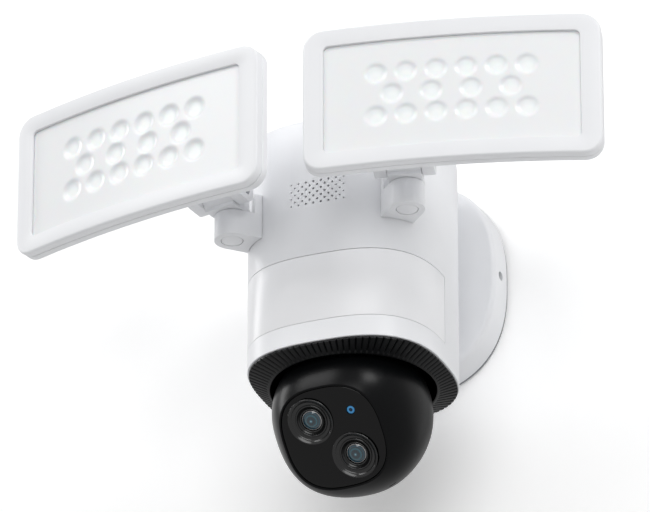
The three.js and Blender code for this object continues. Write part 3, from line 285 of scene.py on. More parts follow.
def rod(axis, radius, low, high, centre=(0, 0), count=SMALL_ROUND):
    return prism("rod", arc(radius, 0, 360 - 360 / count, count - 1, centre), axis, low, high)


def block(low, high):
    outline = ((low[0], low[1]), (high[0], low[1]), (high[0], high[1]), (low[0], high[1]))
    return prism("block", outline, "z", low[2], high[2])


def turned(name, profile, centre, count):
    """A profile of (radius, depth), turned about a line from front to back."""
    point = 1e-5
    rings = []
    for radius, depth in profile:
        ring = arc(max(radius, point), 0, 360 - 360 / count, count - 1, centre)
        rings.append(facing(ring, depth))
    return skin(name, rings, closed=profile[0][0] > 0)


def settle(piece):
    """Replaces a piece's mesh by what its modifiers make of it."""
    depsgraph = bpy.context.evaluated_depsgraph_get()
    made = bpy.data.meshes.new_from_object(piece.evaluated_get(depsgraph))
    piece.modifiers.clear()
    old, piece.data = piece.data, made
    bpy.data.meshes.remove(old)
    return piece


def combine(piece, tools, operation):
    for tool in tools:
        modifier = piece.modifiers.new(operation, "BOOLEAN")
        modifier.operation = operation
        modifier.solver = "EXACT"
        modifier.object = tool
        settle(piece)
        bpy.data.objects.remove(tool)
    return piece


def cut(piece, *tools):
    return combine(piece, tools, "DIFFERENCE")


def join(piece, *tools):
    return combine(piece, tools, "UNION")


def soften(piece, width, angle=35):
    """Rounds the edges that are sharper than an angle."""
    modifier = piece.modifiers.new("soften", "BEVEL")
    modifier.width = width
    modifier.segments = 2
    modifier.limit_method = "ANGLE"
    modifier.angle_limit = radians(angle)
    return settle(piece)


def merged(name, pieces):
    """Several separate solids as one mesh, such as a set of drills."""
    points, faces = [], []
    for piece in pieces:
        start = len(points)
        points.extend(tuple(vertex.co) for vertex in piece.data.vertices)
        faces.extend(tuple(start + i for i in polygon.vertices) for polygon in piece.data.polygons)
        bpy.data.objects.remove(piece)
    return mesh_object(name, points, faces)


def finish(piece, name, on, material, slot, *nodes, angle=32):
    """Puts a piece in its place, gives it its finish and lets it ride on its body.

    Edges sharper than the angle stay sharp.
    """
    place, body = on
    piece.name = name
    piece.data.name = name
    piece.data.transform(Matrix.Scale(MM, 4) @ place)
    piece.data.shade_smooth()
    piece.data.set_sharp_from_angle(angle=radians(angle))
    piece.data.materials.clear()
    piece.data.materials.append(material)
    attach(piece, body)
    if nodes:
        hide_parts(*nodes)
    return piece


# ---- materials

def linear(code):
    """An sRGB hex colour as linear light, opaque."""
    channels = [int(code[i:i + 2], 16) / 255 for i in (1, 3, 5)]
    light = (c / 12.92 if c <= 0.04045 else ((c + 0.055) / 1.055) ** 2.4 for c in channels)
    return (*light, 1.0)


def add(tree, kind, settings=None, inputs=None):
    """Adds a node: settings are its own, and inputs are values or other nodes' outputs."""
    made = tree.nodes.new(kind)
    for name, value in (settings or {}).items():
        setattr(made, name, value)
    for socket, value in (inputs or {}).items():
        if isinstance(value, bpy.types.NodeSocket):
            tree.links.new(value, made.inputs[socket])
        else:
            made.inputs[socket].default_value = value
    return made


# The sockets of a colour Mix node: its factor, its two colours and its result.
SHARE, FROM, TO, MIXED = 0, 6, 7, 2


def started(name, **values):
    """A new material, its tree, its shader and its object coordinates."""
    material = bpy.data.materials.new(name)
    material.use_nodes = True
    tree = material.node_tree
    shader = tree.nodes["Principled BSDF"]
    for socket, value in values.items():
        shader.inputs[socket.replace("_", " ")].default_value = value
    place = add(tree, "ShaderNodeTexCoord").outputs["Object"]
    return material, tree, shader, place


def per(size_mm):
    """A texture's scale that makes its features this many millimetres across."""
    return 1 / (size_mm * MM)


def moulded(name, light, dark, roughness, grain, relief, **values):
    """Moulded plastic: a faint cloudiness in its colour, and the fine grain of the mould.

    The grain's width and relief are in millimetres.
    """
    cloud_mm, spread = 38, 0.05
    material, tree, shader, place = started(name, **values)
    clouds = add(tree, "ShaderNodeTexNoise", inputs={
        "Vector": place, "Scale": per(cloud_mm), "Detail": 3.0})
    colour = add(tree, "ShaderNodeMix", {"data_type": "RGBA"}, {
        SHARE: clouds.outputs["Fac"], FROM: linear(dark), TO: linear(light)})
    tree.links.new(colour.outputs[MIXED], shader.inputs["Base Color"])
    grains = add(tree, "ShaderNodeTexNoise", inputs={
        "Vector": place, "Scale": per(grain), "Detail": 2.0})
    rough = add(tree, "ShaderNodeMapRange", inputs={
        "Value": grains.outputs["Fac"], "To Min": roughness - spread, "To Max": roughness + spread})
    tree.links.new(rough.outputs["Result"], shader.inputs["Roughness"])
    bump = add(tree, "ShaderNodeBump", inputs={
        "Height": grains.outputs["Fac"], "Strength": 0.5, "Distance": relief * MM})
    tree.links.new(bump.outputs["Normal"], shader.inputs["Normal"])
    return material


def drawn_metal(name, light, dark, roughness, streak):
    """Machined or drawn metal: fine streaks across the piece, their length in millimetres."""
    narrowed, spread = (1.0, 1.0, 12.0), 0.08
    material, tree, shader, place = started(name, Metallic=1.0)
    stretched = add(tree, "ShaderNodeMapping", inputs={"Vector": place, "Scale": narrowed})
    streaks = add(tree, "ShaderNodeTexNoise", inputs={
        "Vector": stretched.outputs["Vector"], "Scale": per(streak), "Detail": 4.0})
    colour = add(tree, "ShaderNodeMix", {"data_type": "RGBA"}, {
        SHARE: streaks.outputs["Fac"], FROM: linear(dark), TO: linear(light)})
    tree.links.new(colour.outputs[MIXED], shader.inputs["Base Color"])
    rough = add(tree, "ShaderNodeMapRange", inputs={
        "Value": streaks.outputs["Fac"],
        "To Min": roughness - spread, "To Max": roughness + spread})
    tree.links.new(rough.outputs["Result"], shader.inputs["Roughness"])
    return material


def solder_mask(name, light, dark):
    """A printed circuit board: lacquer over copper, which shows as paler tracks and pads."""
    track_pitch_mm = 6
    material, tree, shader, place = started(name, Roughness=0.35)
    cells = add(tree, "ShaderNodeTexBrick", inputs={
        "Vector": place, "Scale": per(track_pitch_mm),
        "Color1": linear(dark), "Color2": linear(dark),
        "Mortar": linear(light), "Mortar Size": 0.03})
    tree.links.new(cells.outputs["Color"], shader.inputs["Base Color"])
    return material


def milky_sheet(name):
    """Opal polycarbonate: even and white, with painted light low on each light dome behind it and
    painted shade round the dome's upper rim.
    """
    speckle_mm = 0.5
    material, tree, shader, place = started(
        name, Roughness=0.3, IOR=1.58, Subsurface_Weight=0.15, Subsurface_Scale=0.002)
    # The points' painted light and shade near each dome, which brightens or darkens the sheet's
    # colour.
    dome_patch = add(tree, "ShaderNodeAttribute", {"attribute_name": "dome"})
    speckle = add(tree, "ShaderNodeTexNoise", inputs={"Vector": place, "Scale": per(speckle_mm)})
    shade = add(tree, "ShaderNodeMapRange", inputs={
        "Value": speckle.outputs["Fac"],
        "From Min": 0.3, "From Max": 0.7, "To Min": -0.02, "To Max": 0.02})
    share = add(tree, "ShaderNodeMath", {"operation": "ADD"}, {
        0: dome_patch.outputs["Fac"], 1: shade.outputs["Result"]})
    colour = add(tree, "ShaderNodeMix", {"data_type": "RGBA"}, {
        SHARE: share.outputs["Value"], FROM: linear("#E2E4E7"), TO: linear("#FFFFFF")})
    tree.links.new(colour.outputs[MIXED], shader.inputs["Base Color"])
    return material


def glass_with_painted_reflections(name, centre, rings):
    """A lens's outer glass: near black, with painted reflections in thin teal rings and a pale
    painted glint at its middle.
    """
    material, tree, shader, place = started(
        name, Roughness=0.03, IOR=1.7, Coat_Weight=1.0, Coat_Roughness=0.01)
    offset = add(tree, "ShaderNodeVectorMath", {"operation": "DISTANCE"}, {0: place, 1: centre})
    share = add(tree, "ShaderNodeMapRange", inputs={
        "Value": offset.outputs["Value"], "From Max": GLASS["painted_ring_reach"] * MM})
    # Painted reflections and a painted glint, by distance from the lens's middle.
    ramp = add(tree, "ShaderNodeValToRGB", inputs={"Fac": share.outputs["Result"]})
    ramp.color_ramp.elements.remove(ramp.color_ramp.elements[0])
    for spot, code in rings:
        element = ramp.color_ramp.elements.new(spot)
        element.color = linear(code)
    ramp.color_ramp.elements.remove(ramp.color_ramp.elements[-1])
    tree.links.new(ramp.outputs["Color"], shader.inputs["Base Color"])
    return material


def glowing(name, code, strength):
    """A clear light pipe: even colour, with light coming out of it."""
    material, tree, shader, place = started(name, Roughness=0.2, Coat_Weight=0.5)
    patch_mm = 1.2
    patches = add(tree, "ShaderNodeTexNoise", inputs={"Vector": place, "Scale": per(patch_mm)})
    colour = add(tree, "ShaderNodeMix", {"data_type": "RGBA"}, {
        SHARE: patches.outputs["Fac"], FROM: linear(code), TO: linear("#4F9CCB")})
    tree.links.new(colour.outputs[MIXED], shader.inputs["Base Color"])
    shader.inputs["Emission Color"].default_value = linear(code)
    shader.inputs["Emission Strength"].default_value = strength
    return material


# ASA, moulded and satin: an even, slightly cool white with soft highlights.
white_asa = moulded("satin_white_asa", "#F1F2F4", "#EBECEF", 0.36, 0.35, 0.012, IOR=1.5)
# HDPE that lets body heat through: a shade paler and smoother than the housing.
window_hdpe = moulded("heat_window_hdpe", "#F8F8FA", "#F3F4F6", 0.3, 0.6, 0.006, IOR=1.54)
# ABS, fine-grained black: the ball's broad soft highlight comes from its roughness.
black_abs = moulded(
    "satin_black_abs", "#0A0B0D", "#070809", 0.3, 0.3, 0.008, IOR=1.45, Specular_IOR_Level=0.2)
# ABS again, on the ribbed ring: duller, so that each rib shows its own edge.
ring_abs = moulded(
    "ribbed_black_abs", "#131416", "#0D0E0F", 0.34, 0.3, 0.012, IOR=1.48, Specular_IOR_Level=0.3)
# PMMA, polished: a deep black that mirrors the room.
face_pmma = moulded("polished_black_pmma", "#050506", "#030304", 0.12, 2.0, 0.0005, IOR=1.42)
# Aluminium, anodised black and turned: bright thin crescents on every edge.
bezel_aluminium = moulded("anodised_black_bezel", "#0B0C0D", "#070708", 0.2, 0.4, 0.003, IOR=1.7)
# Steel, turned or drawn: screws, pins and motor cans, grey with fine streaks across.
plain_steel = drawn_metal("turned_steel", "#C9CCCF", "#9DA1A5", 0.32, 0.8)
# Steel, zinc plated: the bracket, a little bluer and duller than bare steel.
zinc_plate = drawn_metal("zinc_plated_steel", "#CBD0D4", "#A9AEB3", 0.4, 1.5)
# Brass, cut: the pinions, a warm yellow among white gears.
cut_brass = drawn_metal("cut_brass", "#D9B767", "#B08D3F", 0.3, 0.6)
# Acetal, natural: gears and bearing, a warm waxy white.
acetal = moulded("natural_acetal", "#F2EEE2", "#E9E4D5", 0.38, 0.5, 0.01, IOR=1.48)
# ABS, as moulded: the yoke and the speaker, dull dark grey with no finish to catch the light.
inner_abs = moulded("inner_dark_abs", "#2B2C2F", "#232427", 0.55, 0.5, 0.02, IOR=1.53)
# Silicone sponge: the wall seal, a soft matt grey line that no highlight breaks.
grey_sponge = moulded("silicone_sponge", "#8F9296", "#7B7E82", 0.8, 0.7, 0.08, IOR=1.43)
# EPDM: the cable gland, matt and nearly black.
black_epdm = moulded("black_epdm", "#1C1C1D", "#141415", 0.7, 0.5, 0.03, IOR=1.5)
# Lacquer over copper: green boards with paler tracks, and the white ones that throw light back.
green_board = solder_mask("green_solder_mask", "#3E8A5C", "#1C5A38")
white_board = solder_mask("white_solder_mask", "#F4F5F5", "#E4E6E6")
# Silicone, cast over the diodes: pale domes, each with a small sharp highlight.
clear_silicone = moulded(
    "dome_silicone", "#F6F7F4", "#ECEFEA", 0.2, 1.5, 0.002, IOR=1.41, Coat_Weight=0.5)
# Polycarbonate, opal: light soaks into it a little, and the domes behind show as soft spots of
# painted light with painted shade round their upper rims.
opal_sheet = milky_sheet("opal_polycarbonate")
# PMMA light pipe, lit: a small even blue ring, brighter than all round it.
blue_pipe = glowing("blue_light_pipe", "#2475B0", 0.22)
# PMMA, dyed: the light sensor's window, a dark dot inside the blue ring.
dark_pipe = moulded("dark_sensor_window", "#12354F", "#0C2A42", 0.12, 1.0, 0.001, IOR=1.49)


# ---- housing

def housing_outline(inset):
    return squircle(HOUSING["half"] - inset, HOUSING["exponent"])


def side_arc(inset, back):
    """The housing's outline from one side round the front to the other, ahead of a line."""
    half, exponent = HOUSING["half"] - inset, HOUSING["exponent"]
    side = half * (1 - (abs(back) / half) ** exponent) ** (1 / exponent)
    start = atan2(back, -side) % (2 * pi)
    end = atan2(back, side) % (2 * pi)
    turns = (start + (end - start) * i / ROUND for i in range(ROUND + 1))
    return [squircle_point(half, exponent, turn) for turn in turns]


def front_band(outer, inner, back, low, high):
    """A curved strip that follows the housing's front, between two insets and two heights."""
    outline = side_arc(outer, back) + side_arc(inner, back)[::-1]
    return prism("band", outline, "z", low, high)


def grille_drills():
    drills = []
    middle = (GRILLE["columns"] - 1) / 2
    front = -HOUSING["half"]
    for column in range(GRILLE["columns"]):
        count = GRILLE["short_column" if column % 2 else "long_column"]
        share = abs(column - middle) / middle
        radius = GRILLE["middle"] + (GRILLE["end"] - GRILLE["middle"]) * share ** 2
        x = (column - middle) * GRILLE["pitch"]
        for row in range(count):
            z = GRILLE["centre"] + (row - (count - 1) / 2) * GRILLE["row_pitch"]
            deep = front + HOUSING["wall"] + 2 * PAST
            drills.append(rod("y", radius, front - PAST, deep, (x, z), count=16))
    return merged("drills", drills)


def make_housing():
    height, wall, rounding = HOUSING["height"], HOUSING["wall"], HOUSING["top_round"]
    edge, half = HOUSING["bottom_edge"], HOUSING["half"]
    stations = [(wall, height - wall), (wall, 0), (edge, 0), (0, edge)]
    stations += [(rounding * aside, height - rounding + rounding * up)
                 for aside, up in quarter_turn(8)]
    shell = skin("housing", [upright(housing_outline(inset), z) for inset, z in stations])
    neck = block(
        (-NECK["half"], half - 8, NECK["bottom"]),
        (NECK["half"], -housing_at.y + base_low.y - FIT, NECK["top"]),
    )
    join(shell, soften(neck, NECK["edge"]))
    window_low, window_high = in_mm("motion_window")
    low, high = window_low.z - FIT - housing_at.z, window_high.z + FIT - housing_at.z
    cut(
        shell,
        front_band(-3, WINDOW["slot_depth"], -WINDOW["axis_gap"], low, high),
        grille_drills(),
        rod("y", NECK["hole"], half - 12, half + 20, (0, (NECK["bottom"] + NECK["top"]) / 2)),
    )
    finish(shell, "housing_body", DEVICE, white_asa, "white_plastic", "housing_shell", angle=25)


def make_motion_window():
    low, high = in_mm("motion_window")
    band = front_band(0, WINDOW["thickness"], -WINDOW["axis_gap"] - FIT,
                      low.z - housing_at.z, high.z - housing_at.z)
    soften(band, WINDOW["edge"], angle=40)
    finish(band, "motion_cover", DEVICE, window_hdpe, "window_plastic", "motion_window", angle=25)


def groove(angle, depth):
    """How deep the ring's radial grooves are at an angle."""
    share = (angle * RING["grooves"] / (2 * pi)) % 1
    distance = min(share, 1 - share)
    return depth * max(0.0, 1 - distance / RING["groove_half"]) ** 0.6


def make_trim_ring():
    """A ribbed ring that slopes in from the housing's outline to the round opening."""
    samples = RING["grooves"] * RING["groove_points"]
    outer = squircle(HOUSING["half"] - RING["inset"], HOUSING["exponent"], samples)
    inner = squircle(RING["inner"], 2, samples)
    top, bottom = RING["top"], RING["bottom"]
    low = top - RING["edge"]
    # How far in from the outline to the opening, and how deep the grooves are there.
    slope = [(0.0, 0.55), (0.03, 0.85), (0.1, 0.95), (0.3, 0.95), (0.55, 0.9), (0.78, 0.8),
             (0.84, 0.45), (0.88, 0.0)]

    def ring_at(share, z, depth=0.0):
        points = []
        for i in range(samples):
            angle = 2 * pi * i / samples
            x = outer[i][0] + (inner[i][0] - outer[i][0]) * share
            y = outer[i][1] + (inner[i][1] - outer[i][1]) * share
            pull = groove(angle, depth)
            narrow = 1 - pull * RING["rim_dent"] / hypot(x, y) if share == 0 else 1
            points.append((x * narrow, y * narrow, z + pull))
        return points

    rings = [ring_at(0, top), ring_at(0, top - 0.25, 0.1)]
    rings += [ring_at(share, low + (bottom + 0.15 - low) * share / 0.93, depth)
              for share, depth in slope]
    rings += [ring_at(share, bottom + rise)
              for share, rise in ((0.94, 0.05), (0.97, 0), (0.995, 0.15), (1.0, 0.6))]
    rings.append(ring_at(1.0, top))
    ring = skin("ring", rings, closed=True)
    finish(ring, "ribbed_trim_ring", DEVICE, ring_abs, "black_plastic", "trim_ring", angle=38)


# ---- wall base

def base_outline(inset, depth):
    """The wall base's outline at a distance from the wall, which narrows a little forwards."""
    share = depth / BASE["depth"]
    half = BASE["half"] + (BASE["front_half"] - BASE["half"]) * share
    return facing(squircle(half - inset, BASE["exponent"]), -depth)


def make_wall_base():
    depth, back, wall, rounding = BASE["depth"], BASE["back"], BASE["wall"], BASE["edge_round"]
    half, hole, edge = BASE["half"], BASE["screw_hole"], BASE["back_edge"]
    stations = [(wall, depth - wall), (wall, back), (edge, back), (0, back + edge)]
    stations += [(rounding * aside, depth - rounding + rounding * up)
                 for aside, up in quarter_turn(8)]
    shell = skin("base", [base_outline(inset, ahead) for inset, ahead in stations])
    middle = (0, (NECK["bottom"] + NECK["top"]) / 2 + housing_at.z)
    side_hole = (-(back + depth) / 2, 0)
    cut(
        shell,
        rod("y", BASE["wire_hole"], -depth - PAST, -depth + wall + PAST, middle),
        rod("x", hole, -half - 2, -half + 8, side_hole),
        rod("x", hole, half - 8, half + 2, side_hole),
    )
    finish(shell, "wall_base_cover", WALL, white_asa, "white_plastic", "wall_base", angle=30)


def make_base_seal():
    low, high = in_mm("base_gasket")
    thickness = high.y - low.y
    outer, inner = SEAL["inset"], SEAL["band_inset"]
    stations = ((outer, thickness), (outer, 0), (inner, 0), (inner, thickness))
    seal = skin("seal", [base_outline(inset, ahead) for inset, ahead in stations], closed=True)
    soften(seal, BASE["back_edge"])
    finish(seal, "wall_seal", WALL, grey_sponge, "grey_rubber", "base_gasket")


# ---- ball head

def head_ring(depth, inset):
    """The ball's outline at a depth ahead of its middle: round there, squarer at the face."""
    reach = BALL["reach"] if depth > 0 else BALL["radius"]
    smallest = 0.3
    half = max(smallest, BALL["radius"] * sqrt(max(0.0, 1 - (depth / reach) ** 2)) - inset)
    share = min(1.0, max(0.0, depth / FACE["depth"]))
    exponent = 2 + (FACE["exponent"] - 2) * share ** 1.5
    return facing(squircle(half, exponent, BALL_ROUND), -depth)


def head_skin(inset):
    """The ball's surface, or one inside it at an even distance."""
    front, rear = FACE["depth"] - inset, BALL["radius"] - inset * 1.02
    steps = 48
    rings = []
    for step in range(steps + 1):
        turn = pi * step / steps
        depth = -rear * cos(turn) if turn < pi / 2 else -front * cos(turn)
        rings.append(head_ring(depth, inset))
    return skin("ball", rings)


def face_prism(half, back):
    outline = squircle(half, FACE["exponent"], BALL_ROUND)
    return prism("pocket", outline, "y", -FACE["depth"] - 4, back)


def slot_wedge():
    """What the yoke's stem passes through as the head tilts: a slot over the top and the back."""
    half, inner, end = BALL["slot"] / 2, BALL["slot_inner"], BALL["slot_end"]
    far = BALL["radius"] + 12
    above = far * 1.2
    start = radians(BALL["slot_from"])
    outline = [(-inner * cos(start), inner * sin(start)),
               (-far * cos(start), far * sin(start)),
               (-far * cos(start), above), (far, above), (far, end), (inner, end)]
    wedge = prism("slot", outline, "x", -half, half)
    return cut(wedge, rod("x", inner, -half - PAST, half + PAST))


def slit_drill():
    """The small slit low on the ball that the microphone listens through."""
    long, high, surface = SLIT["half_length"], SLIT["half_height"], -BALL["radius"]
    drill = block((-long, -high, surface - 6), (long, high, surface + 6))
    forward = Matrix.Rotation(radians(SLIT["forward"]), 4, "X")
    aside = Matrix.Rotation(radians(SLIT["aside"]), 4, "Y")
    drill.data.transform(forward @ aside)
    return drill


def make_head():
    """The ball's front part and the cover behind it, each cut from the same skin."""
    far, edge = 60, 0.3
    pocket = -FACE["depth"] + FACE["thickness"] + FIT
    shell = head_skin(0)
    cut(
        shell,
        head_skin(BALL["wall"]),
        face_prism(FACE["half"] + FIT, pocket),
        face_prism(FACE["half"] - FACE["ledge"], pocket + 8),
        block((-far, BALL["cover"], -far), (far, far, far)),
        slot_wedge(),
        slit_drill(),
    )
    soften(shell, edge, angle=50)
    finish(shell, "ball_shell", HEAD, black_abs, "black_plastic", "head_shell", angle=30)
    cover = head_skin(0)
    cut(
        cover,
        head_skin(BALL["wall"]),
        block((-far, -far, -far), (far, BALL["cover"] + FIT, far)),
        slot_wedge(),
    )
    soften(cover, edge, angle=50)
    finish(cover, "ball_rear_cover", HEAD, black_abs, "black_plastic", "head_cover", angle=30)


def make_face():
    """A polished plate, crowned a little, with holes for the lenses and the light."""
    half, depth, crown = FACE["half"], FACE["depth"], FACE["crown"]
    edge, inset, steps = FACE["edge"], FACE["edge_inset"], 16
    back = -depth + FACE["thickness"]
    stations = [(half, back)]
    stations += [(half - inset * aside, -depth + edge - edge * up) for aside, up in quarter_turn(4)]
    for step in range(1, steps):
        share = 1 - step / steps
        stations.append(((half - inset) * share, -depth - crown * (1 - share ** 2.2)))
    plate = skin("plate", [facing(squircle(reach, FACE["exponent"], BALL_ROUND), y)
                           for reach, y in stations])
    front, rear = -depth - 5, back + 2
    drills = [rod("y", BEZEL["radius"] + FIT, front, rear, place) for place in LENSES.values()]
    drills.append(rod("y", LIGHT["outer"] + FIT, front, rear, LIGHT_AT, count=48))
    cut(plate, *drills)
    soften(plate, 0.15, angle=50)
    finish(plate, "face_window", HEAD, face_pmma, "black_gloss", "face_plate", angle=30)


def bead(radius, depth, size, *turns):
    """Points round a rounded edge, at angles in radians."""
    return [(radius + size * cos(turn), depth - size * sin(turn)) for turn in turns]


def make_lens(word, place):
    """A bezel with three rounded steps, and the coated glass inside it."""
    front = -(FACE["depth"] + FACE["crown"] + BEZEL["proud"])
    back = -(FACE["depth"] - BEZEL["back"])
    # Radius and depth, from the outside in: the flange, then each step and the slope after it.
    profile = [(BEZEL["radius"], back), (BEZEL["radius"], front + 0.45), (12.6, front + 0.45)]
    profile += bead(12.2, front + 0.2, 0.4, 0.3, 0.8, 1.3, 1.8, 2.3, 2.8)
    profile += [(11.3, front + 0.3), (10.9, front + 0.9), (10.4, front + 1.5), (9.0, front + 1.75)]
    profile += bead(8.4, front + 1.6, 0.45, 0.3, 1.0, 1.7, 2.4, 2.9)
    profile += [(7.7, front + 2.2), (6.9, front + 2.7)]
    profile += bead(6.2, front + 2.3, 0.4, 0.3, 1.0, 1.7, 2.4, 3.1)
    profile.append((5.8, back))
    bezel = turned("bezel", profile, place, BALL_ROUND)
    finish(bezel, f"{word}_bezel", HEAD, bezel_aluminium, "black_gloss",
           f"{word}_lens_bezel", angle=50)

    radius, top, steps = GLASS["radius"], front + GLASS["set_back"], 10
    dome = [(0, top)]
    dome += [(radius * step / steps, top + GLASS["bulge"] * (step / steps) ** 2.2)
             for step in range(1, steps + 1)]
    dome += [(radius, back), (0, back)]
    glass = turned("glass", dome, place, BALL_ROUND)
    centre = (head_frame @ Vector((place[0], front + 1, place[1]))) * MM
    # Painted reflections: a pale painted glint at the middle, then teal rings on near black glass.
    rings = ((0.0, "#9FC7D0"), (0.09, "#3C6C7C"), (0.2, "#0A1D2A"), (0.42, "#0C2C38"),
             (0.55, "#27606E"), (0.66, "#0C2430"), (0.8, "#1A4A5C"), (0.92, "#0A141C"),
             (1.0, "#050709"))
    painted_reflections = glass_with_painted_reflections(f"{word}_glass_with_painted_reflections", tuple(centre), rings)
    finish(glass, f"{word}_glass", HEAD, painted_reflections, "lens_glass", f"{word}_lens", angle=40)


def make_status_light():
    """A ring of light round a small dark window."""
    front = -(FACE["depth"] + LIGHT["proud"])
    outer, inner, window = LIGHT["outer"], LIGHT["inner"], LIGHT["window"]
    profile = [(inner, front + 0.1), (1.2, front), (1.9, front), (outer, front + 0.15),
               (outer, front + 4), (inner, front + 4)]
    ring = turned("light", profile, LIGHT_AT, 48)
    finish(ring, "status_ring", HEAD, blue_pipe, "blue_light", "status_light", angle=40)
    profile = [(0, front + 0.2), (window, front + 0.3), (window, front + 3.6), (0, front + 3.6)]
    sensor = turned("window", profile, LIGHT_AT, 32)
    finish(sensor, "light_sensor_window", HEAD, dark_pipe, "blue_light", angle=40)


# ---- lamps

LAMP_RADIUS = ((LAMP["width"] / 2) ** 2 + LAMP["bow"] ** 2) / (2 * LAMP["bow"])


def sag(x):
    """How far the bowed lamp falls back at a distance from its middle."""
    return LAMP_RADIUS - sqrt(LAMP_RADIUS ** 2 - x ** 2)


def opening_size(grow):
    """The frame's opening, or one that is larger all round."""
    width = LAMP["width"] - 2 * LAMP["side"] + 2 * grow
    height = LAMP["height"] - LAMP["top"] - LAMP["bottom"] + 2 * grow
    return width, height


class Lamp:
    """The outlines of one lamp, in the frame of its hinge. Depths are from its front face."""

    def __init__(self, word):
        self.word = word
        self.side = -1 if word == "left" else 1
        self.middle = (self.side * LAMP["outward"], LAMP["upward"])
        self.on = (lamp_frame(word), f"{word}_lamp")

    def outer(self, inset, depth, scale=1.0):
        """The lamp's own outline, drawn in by an inset or scaled down."""
        width, height = LAMP["width"] - 2 * inset, LAMP["height"] - 2 * inset
        radius = max(LAMP["corner"] - inset, 1.5) * scale
        outline = rounded_rectangle(width * scale, height * scale, radius, self.middle)
        return facing(outline, -LAMP["ahead"] + depth)

    def window(self, grow, depth):
        """The outline of the opening in the frame."""
        width, height = opening_size(grow)
        centre = (self.middle[0], self.middle[1] + (LAMP["bottom"] - LAMP["top"]) / 2)
        return facing(rounded_rectangle(width, height, 3 + grow, centre), -LAMP["ahead"] + depth)

    def bowed(self, piece):
        """Bends a flat piece so that its ends fall back."""
        for vertex in piece.data.vertices:
            vertex.co.y += sag(vertex.co.x - self.middle[0])
        return piece

    def domes(self):
        """Where each light dome stands, across and up."""
        for row, (count, pitch) in enumerate(LED_ROWS):
            z = self.middle[1] + (1 - row) * LED["row_pitch"]
            for i in range(count):
                yield self.middle[0] + (i - (count - 1) / 2) * pitch, z


def make_lamp_frame(lamp):
    """The front rim, rounded outside and inside, with a lip that holds the opal sheet."""
    back, lip, wall = LAMP["frame"], LAMP["lip"], LAMP["wall"]
    rounding, edge = LAMP["frame_round"], LAMP["seam_edge"]
    rings = [lamp.outer(edge, back), lamp.outer(0, back - edge)]
    rings += [lamp.outer(rounding * aside, rounding * (1 - up)) for aside, up in quarter_turn(7)]
    rings += [lamp.window(grow, depth)
              for grow, depth in ((0.5, 0.15), (0.15, 0.3), (0, 0.6), (0, lip))]
    rings += [lamp.outer(wall, lip), lamp.outer(wall, back)]
    piece = lamp.bowed(skin("frame", rings, closed=True))
    finish(piece, f"{lamp.word}_front_frame", lamp.on, white_asa, "white_plastic",
           f"lamp_frame_{lamp.word}", angle=30)


def eased(share):
    """A share held to 0 to 1, with a slow start and end."""
    share = min(1.0, max(0.0, share))
    return share ** 2 * (3 - 2 * share)


def dome_share(distance):
    """How deep a light dome's dimple is in the opal sheet, 1 at its middle."""
    return eased((LED["dome_patch"] - distance) / (LED["dome_patch"] * 0.5))


def dome_light(across, up):
    """The painted light and shade on the sheet near a dome: painted light low on it, and painted
    shade round its upper rim.
    """
    radius, tiny = DOME_LIGHT["radius"], 0.01
    bright = eased((radius - hypot(across, up + DOME_LIGHT["below"])) / (radius * 0.7))
    away = hypot(across, up)
    rim = eased(1 - abs(away - DOME_LIGHT["rim"]) / DOME_LIGHT["rim_width"])
    rim *= max(0.0, up / max(away, tiny))
    return 0.5 * bright - DOME_LIGHT["rim_shade"] * rim * (1 - bright)


def make_diffuser(lamp):
    """The opal sheet. Each dome behind it shows as a soft round dimple, with painted light and
    shade stored on the points round it.
    """
    columns, rows, even_light = 170, 84, 0.5
    front = -LAMP["ahead"] + LAMP["lip"] + FIT
    width, height = opening_size(LAMP["sheet_tuck"])
    low_z = lamp.middle[1] + (LAMP["bottom"] - LAMP["top"]) / 2 - height / 2
    low_x = lamp.middle[0] - width / 2
    domes = list(lamp.domes())
    points, faces, painted_light_shares = [], [], []
    for row in range(rows + 1):
        for column in range(columns + 1):
            x, z = low_x + width * column / columns, low_z + height * row / rows
            near_x, near_z = min(domes, key=lambda dome: hypot(x - dome[0], z - dome[1]))
            dimple = LED["dimple"] * dome_share(hypot(x - near_x, z - near_z))
            points.append((x, front + dimple + sag(x - lamp.middle[0]), z))
            # Painted light and shade near the nearest dome, stored for the sheet's colour.
            painted_light_shares.append(even_light + dome_light(x - near_x, z - near_z))
    front_count = len(points)
    for x, y, z in points[:front_count]:
        points.append((x, front + LAMP["sheet"] + sag(x - lamp.middle[0]), z))
    across = columns + 1
    for row in range(rows):
        for column in range(columns):
            a = row * across + column
            quad = (a, a + 1, a + across + 1, a + across)
            faces.append(quad)
            faces.append(tuple(i + front_count for i in reversed(quad)))
    edge = list(range(columns)) + [row * across + columns for row in range(rows)]
    edge += [rows * across + i for i in range(columns, 0, -1)]
    edge += [row * across for row in range(rows, 0, -1)]
    for i, start in enumerate(edge):
        end = edge[(i + 1) % len(edge)]
        faces.append((end, start, start + front_count, end + front_count))
    piece = raw_object("sheet", points, faces)
    # The painted light and shade, kept on the sheet's points.
    dome_patch = piece.data.attributes.new("dome", "FLOAT", "POINT")
    dome_patch.data.foreach_set("value", painted_light_shares + [even_light] * front_count)
    finish(piece, f"{lamp.word}_opal_sheet", lamp.on, opal_sheet, "diffuser",
           f"lamp_diffuser_{lamp.word}")


